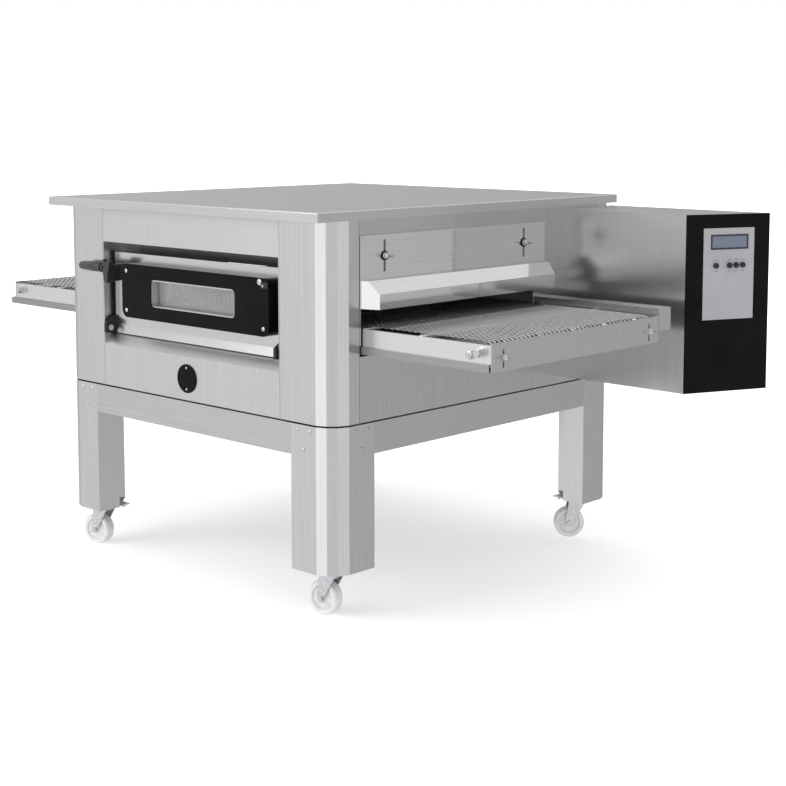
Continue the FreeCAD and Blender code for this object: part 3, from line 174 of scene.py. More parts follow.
class Paint:
    """A small builder for one procedural material around a Principled shader."""

    def __init__(self, name, roughness=0.4, metallic=0.0, **constants):
        self.material = bpy.data.materials.new(name)
        self.material.use_nodes = True
        self.tree = self.material.node_tree
        self.shader = next(n for n in self.tree.nodes if n.type == "BSDF_PRINCIPLED")
        self.shader.inputs["Roughness"].default_value = roughness
        self.shader.inputs["Metallic"].default_value = metallic
        for socket, value in constants.items():
            self.shader.inputs[socket.replace("_", " ")].default_value = value
        self.coords = self.tree.nodes.new("ShaderNodeTexCoord")
        self.bumps = None

    def noise(self, scale, detail=3.0, stretch=(1, 1, 1)):
        """A noise field over the object, stretched along its axes."""
        mapping = self.tree.nodes.new("ShaderNodeMapping")
        mapping.inputs["Scale"].default_value = stretch
        texture = self.tree.nodes.new("ShaderNodeTexNoise")
        texture.inputs["Scale"].default_value = scale
        texture.inputs["Detail"].default_value = detail
        self.tree.links.new(self.coords.outputs["Object"], mapping.inputs["Vector"])
        self.tree.links.new(mapping.outputs["Vector"], texture.inputs["Vector"])
        return texture.outputs["Fac"]

    def ramp(self, source, stops):
        """Colours or greys spread over a field's range."""
        node = self.tree.nodes.new("ShaderNodeValToRGB")
        elements = node.color_ramp.elements
        for index, (place, colour) in enumerate(stops):
            stop = elements[index] if index < 2 else elements.new(place)
            stop.position = place
            stop.color = (*colour, 1) if isinstance(colour, tuple) else (colour, colour, colour, 1)
        self.tree.links.new(source, node.inputs["Fac"])
        return node.outputs["Color"]

    def colour(self, source):
        self.tree.links.new(source, self.shader.inputs["Base Color"])
        return self

    def rough(self, source, low, high):
        """Roughness that follows a field between two limits."""
        spread = self.tree.nodes.new("ShaderNodeMapRange")
        spread.inputs["To Min"].default_value = low
        spread.inputs["To Max"].default_value = high
        self.tree.links.new(source, spread.inputs["Value"])
        self.tree.links.new(spread.outputs["Result"], self.shader.inputs["Roughness"])
        return self

    def bump(self, source, strength, distance=0.001):
        node = self.tree.nodes.new("ShaderNodeBump")
        node.inputs["Strength"].default_value = strength
        node.inputs["Distance"].default_value = distance
        self.tree.links.new(source, node.inputs["Height"])
        if self.bumps:
            self.tree.links.new(self.bumps, node.inputs["Normal"])
        self.bumps = node.outputs["Normal"]
        self.tree.links.new(self.bumps, self.shader.inputs["Normal"])
        return self


FLOOR_FADE = 4.5
GRAIN = {"x": (0.012, 1, 1), "y": (1, 0.012, 1), "z": (1, 1, 0.012)}


def grey(value):
    return (value, value, value * 1.01)


def steel(name, grain="z", tone=0.58, roughness=(0.17, 0.27), waviness=0.10):
    """Brushed stainless: fine grain along one axis, broad cloudy smears and a slight buckle in the sheet."""
    paint = Paint(name, metallic=1.0)
    brush = paint.noise(420, 5, GRAIN[grain])
    paint.colour(paint.ramp(brush, [(0.3, grey(tone * 0.95)), (0.7, grey(tone * 1.04))]))
    paint.rough(paint.noise(3.2, 3), *roughness)
    paint.bump(brush, 0.04, 0.0003)
    paint.bump(paint.noise(1.6, 1), waviness, 0.004)
    return paint.material


def zinc(name):
    """Zinc plating with a fine mottle."""
    paint = Paint(name, metallic=1.0)
    spots = paint.noise(160, 4)
    paint.colour(paint.ramp(spots, [(0.3, (0.48, 0.49, 0.51)), (0.7, (0.66, 0.67, 0.68))]))
    paint.rough(paint.noise(60, 3), 0.22, 0.42)
    paint.bump(spots, 0.06, 0.0004)
    return paint.material


def moulded(name, dark, light, roughness, grain=700, bump=0.08, **constants):
    """Moulded or painted plastic: slight tone drift and a fine skin texture."""
    paint = Paint(name, **constants)
    paint.colour(paint.ramp(paint.noise(14, 4), [(0.3, dark), (0.7, light)]))
    paint.rough(paint.noise(40, 3), *roughness)
    paint.bump(paint.noise(grain, 2), bump, 0.0003)
    return paint.material


def nylon(name):
    """White moulded nylon, slightly translucent and scuffed on its tread."""
    paint = Paint(name, Subsurface_Weight=0.05, Subsurface_Radius=(0.003, 0.003, 0.003))
    scuff = paint.noise(70, 5)
    paint.colour(paint.ramp(scuff, [(0.25, (0.60, 0.60, 0.61)), (0.6, (0.72, 0.72, 0.73))]))
    paint.rough(paint.noise(30, 3), 0.38, 0.55)
    paint.bump(scuff, 0.05, 0.0005)
    return paint.material


def glass(name):
    """Heat-proof door glass with a faint haze."""
    paint = Paint(name, Transmission_Weight=0.85, IOR=1.5)
    paint.colour(paint.ramp(paint.noise(5, 3), [(0.3, (0.80, 0.83, 0.83)), (0.7, (0.88, 0.90, 0.90))]))
    paint.rough(paint.noise(9, 4), 0.0, 0.03)
    return paint.material


def wool(name):
    """Matted mineral fibre."""
    paint = Paint(name, roughness=0.95)
    fibre = paint.noise(220, 6, (1, 0.15, 1))
    paint.colour(paint.ramp(fibre, [(0.3, (0.42, 0.36, 0.24)), (0.7, (0.66, 0.60, 0.46))]))
    paint.bump(fibre, 0.8, 0.003)
    return paint.material


def sheath(name):
    """Heater sheath, tinted by heat along its length."""
    paint = Paint(name, metallic=1.0)
    bands = paint.noise(12, 3)
    tints = [(0.25, (0.16, 0.13, 0.11)), (0.55, (0.30, 0.24, 0.20)), (0.8, (0.22, 0.22, 0.28))]
    paint.colour(paint.ramp(bands, tints))
    paint.rough(bands, 0.35, 0.6)
    paint.bump(paint.noise(300, 2), 0.1, 0.0003)
    return paint.material


def enamel(name):
    """Grey enamel over a cast surface."""
    paint = Paint(name, Coat_Weight=0.2)
    cast = paint.noise(240, 4)
    paint.colour(paint.ramp(paint.noise(9, 3), [(0.3, (0.12, 0.13, 0.14)), (0.7, (0.17, 0.18, 0.19))]))
    paint.rough(cast, 0.4, 0.6)
    paint.bump(cast, 0.2, 0.0005)
    return paint.material


def board(name):
    """Green lacquered circuit board with paler tracks."""
    paint = Paint(name, roughness=0.35)
    tracks = paint.noise(90, 1, (1, 1, 0.1))
    paint.colour(paint.ramp(tracks, [(0.45, (0.02, 0.12, 0.05)), (0.55, (0.05, 0.22, 0.09))]))
    paint.bump(tracks, 0.2, 0.0003)
    return paint.material


def liquid_crystal(name):
    """A blue-grey display with a faint, fine speckle."""
    paint = Paint(name, roughness=0.18)
    speckle = paint.noise(500, 1)
    paint.colour(paint.ramp(speckle, [(0.4, (0.115, 0.135, 0.185)), (0.6, (0.135, 0.155, 0.21))]))
    paint.bump(paint.noise(700, 1), 0.03, 0.0002)
    return paint.material


def glowing_floor(name):
    """A pale studio floor that glows: faintly round its middle, painted light that lifts the oven's shadow,
    and more in its far reaches, so that it runs into the white backdrop.
    """
    paint = Paint(name, roughness=0.7)
    paint.colour(paint.ramp(paint.noise(2.5, 3), [(0.3, grey(0.92)), (0.7, grey(0.95))]))
    mapping = paint.tree.nodes.new("ShaderNodeMapping")
    mapping.inputs["Scale"].default_value = (1 / FLOOR_FADE, 1 / FLOOR_FADE, 1)
    paint.tree.links.new(paint.coords.outputs["Object"], mapping.inputs["Vector"])
    bowl = paint.tree.nodes.new("ShaderNodeTexGradient")
    bowl.gradient_type = "SPHERICAL"
    paint.tree.links.new(mapping.outputs["Vector"], bowl.inputs["Vector"])
    # painted light: about 0.35 of glow round the middle lifts the shadow under and round the oven; far out it
    # rises to 0.9
    glow = paint.ramp(bowl.outputs["Fac"], [(0.0, 0.9), (0.35, 0.42), (0.7, 0.36), (0.9, 0.34)])
    paint.tree.links.new(glow, paint.shader.inputs["Emission Color"])
    paint.shader.inputs["Emission Strength"].default_value = 1.0
    return paint.material


MATERIALS = {
    "steel": steel("steel_upright"),
    "steel_flat": steel("steel_along", grain="x", tone=0.58, roughness=(0.2, 0.3)),
    # the side panels' steel: the same sheet in a darker tone, painted shade for the faces turned from the key
    # light
    "steel_shaded_side": steel("steel_shaded_side", tone=0.52),
    "steel_rail": steel("steel_rail", grain="x", tone=0.54),
    "steel_front": steel("steel_front", roughness=(0.30, 0.42)),
    "steel_light": steel("steel_light", grain="y", tone=0.66, roughness=(0.05, 0.09), waviness=0.04),
    "steel_bright": steel("steel_bright", grain="y", tone=0.68, roughness=(0.18, 0.3), waviness=0.05),
    "steel_tray": steel("steel_tray", grain="x", tone=0.34, roughness=(0.35, 0.5)),
    "steel_inside": steel("steel_inside", grain="x", tone=0.42, roughness=(0.4, 0.6)),
    "wire": steel("wire_steel", grain="y", tone=0.62, roughness=(0.2, 0.34), waviness=0.0),
    "zinc": zinc("zinc_plate"),
    "nylon": nylon("white_nylon"),
    "gloss": moulded("gloss_black", (0.004, 0.0036, 0.003), (0.007, 0.006, 0.005), (0.12, 0.22),
                     bump=0.02, Specular_IOR_Level=0.06),
    "matte": moulded("matte_black", (0.010, 0.010, 0.010), (0.018, 0.017, 0.017), (0.34, 0.5),
                     bump=0.15, Specular_IOR_Level=0.3),
    "grip": moulded("grip_black", (0.016, 0.016, 0.016), (0.026, 0.025, 0.025), (0.22, 0.34), bump=0.1),
    "pad": moulded("pad_grey", (0.31, 0.30, 0.32), (0.34, 0.33, 0.35), (0.4, 0.5), grain=1500, bump=0.1),
    "print": moulded("print_dark", (0.09, 0.09, 0.10), (0.12, 0.12, 0.13), (0.5, 0.6)),
    "navy": moulded("navy_frame", (0.008, 0.010, 0.022), (0.012, 0.014, 0.030), (0.3, 0.4)),
    "glass": glass("door_glass"),
    "wool": wool("mineral_wool"),
    "sheath": sheath("heater_sheath"),
    "enamel": enamel("grey_enamel"),
    "board": board("circuit_green"),
    "lcd": liquid_crystal("lcd_face"),
    "floor": glowing_floor("studio_floor"),
}
# the material of each slot that the record names
SLOT_PAINT = {"zinc": "zinc", "nylon": "nylon", "black_gloss": "gloss", "black_matte": "matte",
              "wire_mesh": "wire", "door_glass": "glass", "mineral_wool": "wool", "heater_sheath": "sheath",
              "motor_grey": "enamel", "pad_grey": "pad", "lcd": "lcd", "board_green": "board",
              "brushed_steel": "steel"}
# nodes whose steel differs from the rest in grain, tone or finish; the side panels' darker tone is painted
# shade
NODE_PAINT = {"top_cover": "steel_flat", "stand_rails": "steel_rail", "side_panel_exit": "steel_shaded_side",
              "side_panel_entry": "steel_shaded_side", "front_panel": "steel_front", "shutter_exit": "steel_light",
              "shutter_entry": "steel_light", "tunnel_liner": "steel_inside", "base_pan": "steel_inside",
              "crumb_tray": "steel_tray", "conveyor_frame": "steel_bright", "drive_channel": "steel_flat"}


def paint_nodes():
    """Give every CAD node its procedural material."""
    slots = {part["node"]: part["material_slot"] for part in frame["record"]["subparts"]}
    for name, piece in NODES.items():
        paint = MATERIALS[NODE_PAINT.get(name, SLOT_PAINT[slots[name]])]
        if not piece.material_slots:
            piece.data.materials.append(paint)
        for slot in piece.material_slots:
            slot.material = paint


# ------------------------------------------------------------------ mesh helpers

def finish_mesh(name, mesh_builder, paint, body, smooth=True):
    """Turn a bmesh into a piece that rides on a body."""
    mesh = bpy.data.meshes.new(name)
    mesh_builder.to_mesh(mesh)
    mesh_builder.free()
    for polygon in mesh.polygons:
        polygon.use_smooth = smooth
    piece = bpy.data.objects.new(name, mesh)
    bpy.context.scene.collection.objects.link(piece)
    mesh.materials.append(MATERIALS[paint])
    if smooth:
        mesh.set_sharp_from_angle(angle=math.radians(38))
    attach(piece, body)
    return piece


def facing(direction, place):
    """A matrix that carries local +Z to a direction, at a place."""
    return Matrix.Translation(place) @ Vector(direction).to_track_quat("Z", "Y").to_matrix().to_4x4()


def lathe(builder, profile, matrix, segments=32):
    """Add a solid of revolution about local Z from (radius, height) points given in millimetres."""
    rings = []
    for radius, height in profile:
        if radius < 1e-6:
            rings.append([builder.verts.new(matrix @ Vector((0, 0, height / 1000)))])
            continue
        ring = []
        for index in range(segments):
            angle = 2 * math.pi * index / segments
            spot = Vector((radius * math.cos(angle), radius * math.sin(angle), height)) / 1000
            ring.append(builder.verts.new(matrix @ spot))
        rings.append(ring)
    for low, high in zip(rings, rings[1:]):
        for index in range(segments):
            after = (index + 1) % segments
            corners = [low[index % len(low)], low[after % len(low)],
                       high[after % len(high)], high[index % len(high)]]
            unique = list(dict.fromkeys(corners))
            if len(unique) > 2:
                builder.faces.new(unique)
    for ring in (rings[0], rings[-1]):
        if len(ring) > 1:
            builder.faces.new(ring if ring is rings[-1] else ring[::-1])


def slab(builder, matrix, low, high, bevel=0.5, segments=2):
    """Add a block with rounded edges, its corners in millimetres in a local frame."""
    low, high = Vector(low) / 1000, Vector(high) / 1000
    part = bmesh.ops.create_cube(builder, size=1.0)["verts"]
    for vert in part:
        share = vert.co + Vector((0.5, 0.5, 0.5))
        vert.co = Vector(low[i] + (high[i] - low[i]) * share[i] for i in range(3))
    edges = list({edge for vert in part for edge in vert.link_edges})
    made = bmesh.ops.bevel(builder, geom=edges, offset=bevel / 1000, segments=segments, profile=0.5,
                           affect="EDGES", clamp_overlap=True)
    rounded = [vert for face in made["faces"] for vert in face.verts]
    moved = {vert for vert in rounded + part if vert.is_valid}
    bmesh.ops.transform(builder, matrix=matrix, verts=list(moved))


def prism(builder, matrix, points, low, high, bevel=0.0):
    """Add an extruded outline given in millimetres in a local XY plane."""
    base = [builder.verts.new(Vector((x, y, low)) / 1000) for x, y in points]
    top = [builder.verts.new(Vector((x, y, high)) / 1000) for x, y in points]
    builder.faces.new(base[::-1])
    builder.faces.new(top)
    for index in range(len(points)):
        after = (index + 1) % len(points)
        builder.faces.new((base[index], base[after], top[after], top[index]))
    verts = base + top
    if bevel:
        edges = list({edge for vert in top for edge in vert.link_edges if all(v in top for v in edge.verts)})
        made = bmesh.ops.bevel(builder, geom=edges, offset=bevel / 1000, segments=2, profile=0.5,
                               affect="EDGES", clamp_overlap=True)
        rounded = [vert for face in made["faces"] for vert in face.verts]
        verts = list({vert for vert in verts + made["verts"] + rounded if vert.is_valid})
    bmesh.ops.transform(builder, matrix=matrix, verts=verts)


def add_tube(builder, path, radius, sides):
    """Add a wire of constant radius along a path, in metres."""
    rings = []
    for index, spot in enumerate(path):
        before = path[index - 1] if index else spot
        after = path[index + 1] if index < len(path) - 1 else spot
        along = (after - before).normalized()
        side = along.cross(Vector((0.13, 0.21, 1))).normalized()
        up = side.cross(along)
        rings.append([builder.verts.new(spot + (side * math.cos(a) + up * math.sin(a)) * radius)
                      for a in (2 * math.pi * k / sides for k in range(sides))])
    for low, high in zip(rings, rings[1:]):
        for k in range(sides):
            n = (k + 1) % sides
            builder.faces.new((low[k], low[n], high[n], high[k]))
    builder.faces.new(rings[0][::-1])
    builder.faces.new(rings[-1])


def loop_point(left, right, centre, radius, distance, lift=0.0):
    """The point a distance round a band over two wheels, from the left wheel's crown, lifted outwards."""
    straight = right - left
    turn = math.pi * radius
    reach = radius + lift
    distance %= 2 * (straight + turn)
    if distance < straight:
        return Vector((left + distance, centre.y, centre.z + reach))
    distance -= straight
    if distance < turn:
        angle = distance / radius
        return Vector((right + math.sin(angle) * reach, centre.y, centre.z + math.cos(angle) * reach))
    distance -= turn
    if distance < straight:
        return Vector((right - distance, centre.y, centre.z - reach))
    angle = (distance - straight) / radius
    return Vector((left - math.sin(angle) * reach, centre.y, centre.z - math.cos(angle) * reach))


def sideways(side, place):
    """A matrix that carries local +Z to +X or -X, at a place, and keeps local Y."""
    return Matrix(((0, 0, side, place.x), (0, 1, 0, place.y), (-side, 0, 0, place.z), (0, 0, 0, 1)))


# ------------------------------------------------------------------ pieces

# the woven belt, in metres: rows of spirals round the loop, turns of each spiral across it
BELT_ROWS = 200
BELT_TURNS = 40
WIRE_RADIUS = 0.0008
BELT_HALF_THICK = 0.002
BELT_SIDE_GAP = 0.001
# one turn of a spiral: how far along its row, and how high between the belt's two faces
SPIRAL_TURN = ((-0.05, 0.6), (0.5, 1.0), (1.05, 0.6), (1.05, -0.6), (0.5, -1.0), (-0.05, -0.6))


def make_belt():
    """The woven wire belt: flattened spirals, joined by straight cross rods, round both shafts."""
    low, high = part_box("mesh_belt")
    centre = (low + high) / 2
    wheel = (high.z - low.z) / 2
    left, right = low.x + wheel, high.x - wheel
    radius = wheel - BELT_HALF_THICK
    pitch = 2 * (right - left + math.pi * radius) / BELT_ROWS
    first, last = low.y + BELT_SIDE_GAP, high.y - BELT_SIDE_GAP
    turn_width = (last - first - 2 * WIRE_RADIUS) / BELT_TURNS
    lift = BELT_HALF_THICK - WIRE_RADIUS
    builder = bmesh.new()
    for row in range(BELT_ROWS):
        start = row * pitch
        spiral = []
        for turn in range(BELT_TURNS):
            for step, (share, height) in enumerate(SPIRAL_TURN):
                spot = loop_point(left, right, centre, radius, start + share * pitch, height * lift)
                spot.y = first + WIRE_RADIUS + (turn + step / len(SPIRAL_TURN)) * turn_width
                spiral.append(spot)
        add_tube(builder, spiral, WIRE_RADIUS, 4)
        rod = []
        for end in (first, last):
            spot = loop_point(left, right, centre, radius, start)
            spot.y = end
            rod.append(spot)
        add_tube(builder, rod, WIRE_RADIUS, 5)
    belt = finish_mesh("woven_belt", builder, "wire", "casing")
    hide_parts("mesh_belt")


def dome(radius, height, rim=0.6):
    """The profile of a domed head, from its flange to its crown."""
    steps = 6
    points = [(radius, 0), (radius, rim)]
    for step in range(1, steps):
        angle = math.pi / 2 * step / steps
        points.append((radius * math.cos(angle), rim + (height - rim) * math.sin(angle)))
    return points + [(0, height)]


# a leg seen from above, in millimetres: its width both ways, its bent outer corner and its inner notch
LEG_SIDE = 132.5
LEG_CORNER = 52.5
LEG_FACETS = (22.5, 45.0, 67.5)
LEG_ARM = 64
# the plate that closes the foot of the notch, lapped a little into the leg
LEG_GUSSET = ((LEG_ARM - 1, LEG_ARM - 1), (LEG_ARM - 1, LEG_SIDE), (LEG_SIDE, LEG_ARM - 1))
GUSSET_BASE = 0.5
GUSSET_TOP = 3


def leg_section():
    """A leg's outline as distances in from its outer side face and from its front or rear face."""
    points = [(LEG_SIDE, 0), (LEG_CORNER, 0)]
    step = LEG_CORNER / sum(math.cos(math.radians(angle)) for angle in LEG_FACETS)
    for angle in LEG_FACETS:
        inward, along = points[-1]
        turn = math.radians(angle)
        points.append((inward - step * math.cos(turn), along + step * math.sin(turn)))
    return points + [(0, LEG_SIDE), (LEG_ARM, LEG_SIDE), (LEG_ARM, LEG_ARM), (LEG_SIDE, LEG_ARM)]


def leg_plan(low, high, side, rear, section):
    """Carry an outline to one corner of the stand, in millimetres, anticlockwise."""
    outer = (high.x if side > 0 else low.x) * 1000
    face = (high.y if rear else low.y) * 1000
    deeper = -1 if rear else 1
    points = [(outer - side * inward, face + deeper * along) for inward, along in section]
    return points[::-1] if (side < 0) != rear else points


def make_legs():
    """Legs of bent sheet, faceted outside, notched inside, with a small plate at the notch's foot."""
    for node, rear in (("legs_front", False), ("legs_rear", True)):
        low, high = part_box(node)
        base, top = low.z * 1000, high.z * 1000
        builder = bmesh.new()
        for side in (-1, 1):
            prism(builder, Matrix.Identity(4), leg_plan(low, high, side, rear, leg_section()), base, top)
            gusset = leg_plan(low, high, side, rear, LEG_GUSSET)
            prism(builder, Matrix.Identity(4), gusset, base + GUSSET_BASE, base + GUSSET_TOP)
        legs = finish_mesh(f"{node}_sheet", builder, "steel", "casing", smooth=False)
        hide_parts(node)


# rivets on each face of a leg, in millimetres: two above and one below, measured in from the outer corner
RIVET_NEAR = 71.5
RIVET_FAR = 112
RIVET_MID = 92
RIVET_RADIUS = 4.5
RIVET_RISE = 3
RIVET_HEAD = (4.4, 2.8)


def make_rivets():
    """Domed rivets at the top of every leg."""
    low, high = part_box("stand_rivets")
    outer_x = (high.x - low.x) / 2 * 1000 - RIVET_RISE
    back_y = (high.y - FRONT_Y) * 1000 - RIVET_RISE
    front_y = (low.y - FRONT_Y) * 1000 + RIVET_RISE
    upper = high.z * 1000 - RIVET_RADIUS
    lower = low.z * 1000 + RIVET_RADIUS
    builder = bmesh.new()
    for side in (-1, 1):
        for face, toward in ((front_y, -1), (back_y, 1)):
            for along, level in ((RIVET_NEAR, upper), (RIVET_FAR, upper), (RIVET_MID, lower)):
                place = at(side * (outer_x - along), face, level)
                lathe(builder, dome(*RIVET_HEAD), facing((0, toward, 0), place), 20)
                place = at(side * outer_x, face - toward * along, level)
                lathe(builder, dome(*RIVET_HEAD), facing((side, 0, 0), place), 20)
    rivets = finish_mesh("rivet_heads", builder, "zinc", "casing")
    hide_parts("stand_rivets")


def cross_head(builder, place, direction, radius, height):
    """A pan-head screw with a sunk crown and a cross laid over it."""
    matrix = facing(direction, place)
    crown = [(radius * 0.3, height * 0.98), (radius * 0.26, height * 0.55), (0, height * 0.5)]
    lathe(builder, dome(radius, height, 0.8)[:-2] + crown, matrix, 24)
    reach, width = radius * 0.62, radius * 0.09
    for turn in (0, 1):
        spin = matrix @ Matrix.Rotation(math.pi / 2 * turn, 4, "Z")
        slab(builder, spin, (-reach, -width, height * 0.88), (reach, width, height * 0.99), 0.1, 1)


def hexagon(radius):
    """Corner points of a hexagon, given its corners' distance from the middle."""
    return [(radius * math.cos(math.pi / 3 * k), radius * math.sin(math.pi / 3 * k)) for k in range(6)]


def hex_nut(builder, place, direction, radius, height, stud=0.0):
    """A chamfered hexagon nut on a washer, with a stud end through it."""
    matrix = facing(direction, place)
    lathe(builder, [(radius * 1.25, 0), (radius * 1.25, 1.2), (radius * 0.6, 1.2)], matrix, 32)
    prism(builder, matrix, hexagon(radius), 1.2, height, 0.8)
    if stud:
        lathe(builder, [(radius * 0.5, height - 0.5), (radius * 0.5, height + stud - 0.6),
                        (radius * 0.42, height + stud)], matrix, 20)


# the bezel's screws, in metres: how far their middles lie inside the CAD screws' box
SCREW_INSET = 0.005
# the stay's bolt, from the upper right corner of that box
STAY_BOLT_IN = 0.017
STAY_BOLT_UP = 0.003


def make_door_trim():
    """The bezel's corner screws, and a larger bolt for the stay at its upper right corner."""
    low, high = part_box("door_screws")
    face = high.y
    builder = bmesh.new()
    for x in (low.x + SCREW_INSET, high.x - SCREW_INSET):
        for z in (low.z + SCREW_INSET, high.z - SCREW_INSET):
            cross_head(builder, Vector((x, face, z)), (0, -1, 0), 5.2, 2.5)
    cross_head(builder, Vector((high.x - STAY_BOLT_IN, face, high.z + STAY_BOLT_UP)), (0, -1, 0), 7.5, 2.5)
    screws = finish_mesh("bezel_screws", builder, "zinc", "door")
    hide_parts("door_screws")


def rounded_outline(left, right, base, top, radius, steps=8):
    """Corner points of a rounded rectangle, anticlockwise."""
    centres = ((right - radius, top - radius), (left + radius, top - radius),
               (left + radius, base + radius), (right - radius, base + radius))
    points = []
    for corner, (centre_x, centre_z) in enumerate(centres):
        for step in range(steps + 1):
            angle = math.radians(90 * corner + 90 * step / steps)
            points.append((centre_x + radius * math.cos(angle), centre_z + radius * math.sin(angle)))
    return points


# the window's trim, in millimetres: left, right, base and top, its round corners and its sheet
TRIM_EDGES = (-126.7, 185.7, 665.3, 731.7)
TRIM_ROUND = 11.7
TRIM_THICK = 2.5
TRIM_FRONT = 36.5
TRIM_BACK = 56.2


def make_window_trim():
    """A bright folded ring that lines the window in the bezel."""
    left, right, base, top = TRIM_EDGES
    builder = bmesh.new()
    outer = rounded_outline(left, right, base, top, TRIM_ROUND)
    inner = rounded_outline(left + TRIM_THICK, right - TRIM_THICK, base + TRIM_THICK, top - TRIM_THICK,
                            TRIM_ROUND - TRIM_THICK)
    loops = []
    for outline, y in ((outer, TRIM_BACK), (outer, TRIM_FRONT), (inner, TRIM_FRONT), (inner, TRIM_BACK)):
        loops.append([builder.verts.new(at(x, y, z)) for x, z in outline])
    for one, two in zip(loops, loops[1:] + loops[:1]):
        for index in range(len(outer)):
            after = (index + 1) % len(outer)
            builder.faces.new((one[index], one[after], two[after], two[index]))
    finish_mesh("window_trim", builder, "steel_bright", "door")


# the stay, in millimetres from the bezel's front edge on the right, and how far down its middle lies
STAY_LOW = (-24, -2.2, -7)
STAY_HIGH = (-1, 0.4, 7)
STAY_DROP = 16.5


def make_stay():
    """A black stay clamped on the bezel's upper right corner."""
    low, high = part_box("door_bezel")
    builder = bmesh.new()
    corner = Vector((high.x, low.y, high.z - STAY_DROP / 1000))
    slab(builder, Matrix.Translation(corner), STAY_LOW, STAY_HIGH, 2, 3)
    finish_mesh("door_stay", builder, "matte", "door")


def make_handle():
    """A tapered grip with a rounded tip and a collar."""
    low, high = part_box("handle_grip")
    place = Vector((high.x, (low.y + high.y) / 2, (low.z + high.z) / 2))
    reach = (high.x - low.x) * 1000
    collar = [(9, 0), (12.6, 0.6), (12.9, 4), (12.2, 7), (11.2, 9), (12.2, 12)]
    taper = [(12.8, reach * 0.3), (12.4, reach * 0.55), (11.2, reach * 0.8)]
    tip = [(10.2, reach - 7), (9.0, reach - 3), (6.5, reach - 0.8), (3, reach - 0.1), (0, reach)]
    builder = bmesh.new()
    lathe(builder, collar + taper + tip, facing((-1, 0, 0), place), 40)
    grip = finish_mesh("grip", builder, "grip", "door")
    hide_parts("handle_grip")


# the handle bracket's outline seen from the front: distances right of its left edge and above its foot
BRACKET_OUTLINE = ((0, 50), (3, 58), (8, 59), (13, 50), (20, 50), (26, 59), (33, 58), (35, 52),
                   (28, 38), (25, 24), (23, 6), (20, 0), (10, 0), (7, 6), (8, 24), (4, 38))
BRACKET_THICK = 11
# two corners of the block behind the casting, from the bracket's left front foot; the last reaches the door
BLOCK_START = (12, 16, 3)
BLOCK_RIGHT = 27
BLOCK_TOP = 46
# where the casting's back and the grip's root lie, in metres from that foot
CASTING_IN = 0.004
CASTING_BACK = 0.018
GRIP_ROOT = 0.009


def make_handle_bracket():
    """A forked casting: two horns over a tapering stem, on a block that reaches back to the door."""
    low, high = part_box("handle_bracket")
    grip_low, grip_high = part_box("handle_grip")
    upright = Matrix(((1, 0, 0, low.x + CASTING_IN), (0, 0, -1, low.y + CASTING_BACK), (0, 1, 0, low.z),
                      (0, 0, 0, 1)))
    builder = bmesh.new()
    prism(builder, upright, BRACKET_OUTLINE, 0, BRACKET_THICK, 2.2)
    depth = (high.y - low.y) * 1000
    slab(builder, Matrix.Translation(low), BLOCK_START, (BLOCK_RIGHT, depth, BLOCK_TOP), 2, 3)
    root = Vector((low.x + GRIP_ROOT, (grip_low.y + grip_high.y) / 2, (grip_low.z + grip_high.z) / 2))
    lathe(builder, [(9.5, 0), (10.5, 1), (10.5, 7), (9, 8)], facing((-1, 0, 0), root), 32)
    bracket = finish_mesh("handle_casting", builder, "grip", "door")
    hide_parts("handle_bracket")


def wing(builder, matrix, way, reach, thick, base, top):
    """One ear of a wing nut, leaning outwards from the hub along local Y."""
    ear = [(way * 3, base), (way * (reach - 3), base + 3), (way * reach, (base + top) / 2 + 2),
           (way * (reach - 2), top - 1), (way * (reach - 6), top), (way * 4, base + (top - base) * 0.6)]
    turn = matrix @ Matrix(((0, 0, 1, 0), (1, 0, 0, 0), (0, 1, 0, 0), (0, 0, 0, 1)))
    points = ear if way > 0 else ear[::-1]
    prism(builder, turn, points, -thick / 2, thick / 2, 0.6)


def wing_nut(builder, matrix, scale=1.0):
    """A stepped hub with two ears, standing along local Z."""
    hub = [(9 * scale, 0), (9.5 * scale, 0.8), (8.5 * scale, 6), (7 * scale, 11 * scale),
           (6.2 * scale, 12 * scale), (4.2 * scale, 12.2 * scale)]
    lathe(builder, hub, matrix, 28)
    for way in (-1, 1):
        wing(builder, matrix, way, 11 * scale, 4.4 * scale, 2, 17 * scale)


def make_knobs():
    """Wing nuts that clamp the shutters, one over each stud, each on a washer whose black is painted shade
    round the nut.
    """
    for end, side in (("exit", 1), ("entry", -1)):
        for place in ("front", "back"):
            node = f"knob_{end}_{place}"
            low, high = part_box(node)
            root = Vector((low.x if side > 0 else high.x, (low.y + high.y) / 2, (low.z + high.z) / 2))
            builder = bmesh.new()
            wing_nut(builder, sideways(side, root))
            nut = finish_mesh(f"wing_{end}_{place}", builder, "zinc", node)
            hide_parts(node)
            # the washer is real, but its black matte stands in for the shade round the wing nut: painted
            # shade
            builder = bmesh.new()
            lathe(builder, [(10.5, 0), (11, 0.5), (11, 2.4), (10.2, 3), (7, 3)], sideways(side, root), 32)
            finish_mesh(f"washer_{end}_{place}", builder, "matte", node)


# the black strips of painted shade behind the shutters' slots, in millimetres: half their width and height,
# and where they lie
SHADE_STRIP_HALF_WIDTH = 2
SHADE_STRIP_HALF_HEIGHT = 39
SIDE_FACE = 498
SHADE_STRIP_LIFT = 0.02
SHADE_STRIP_THICK = 0.2


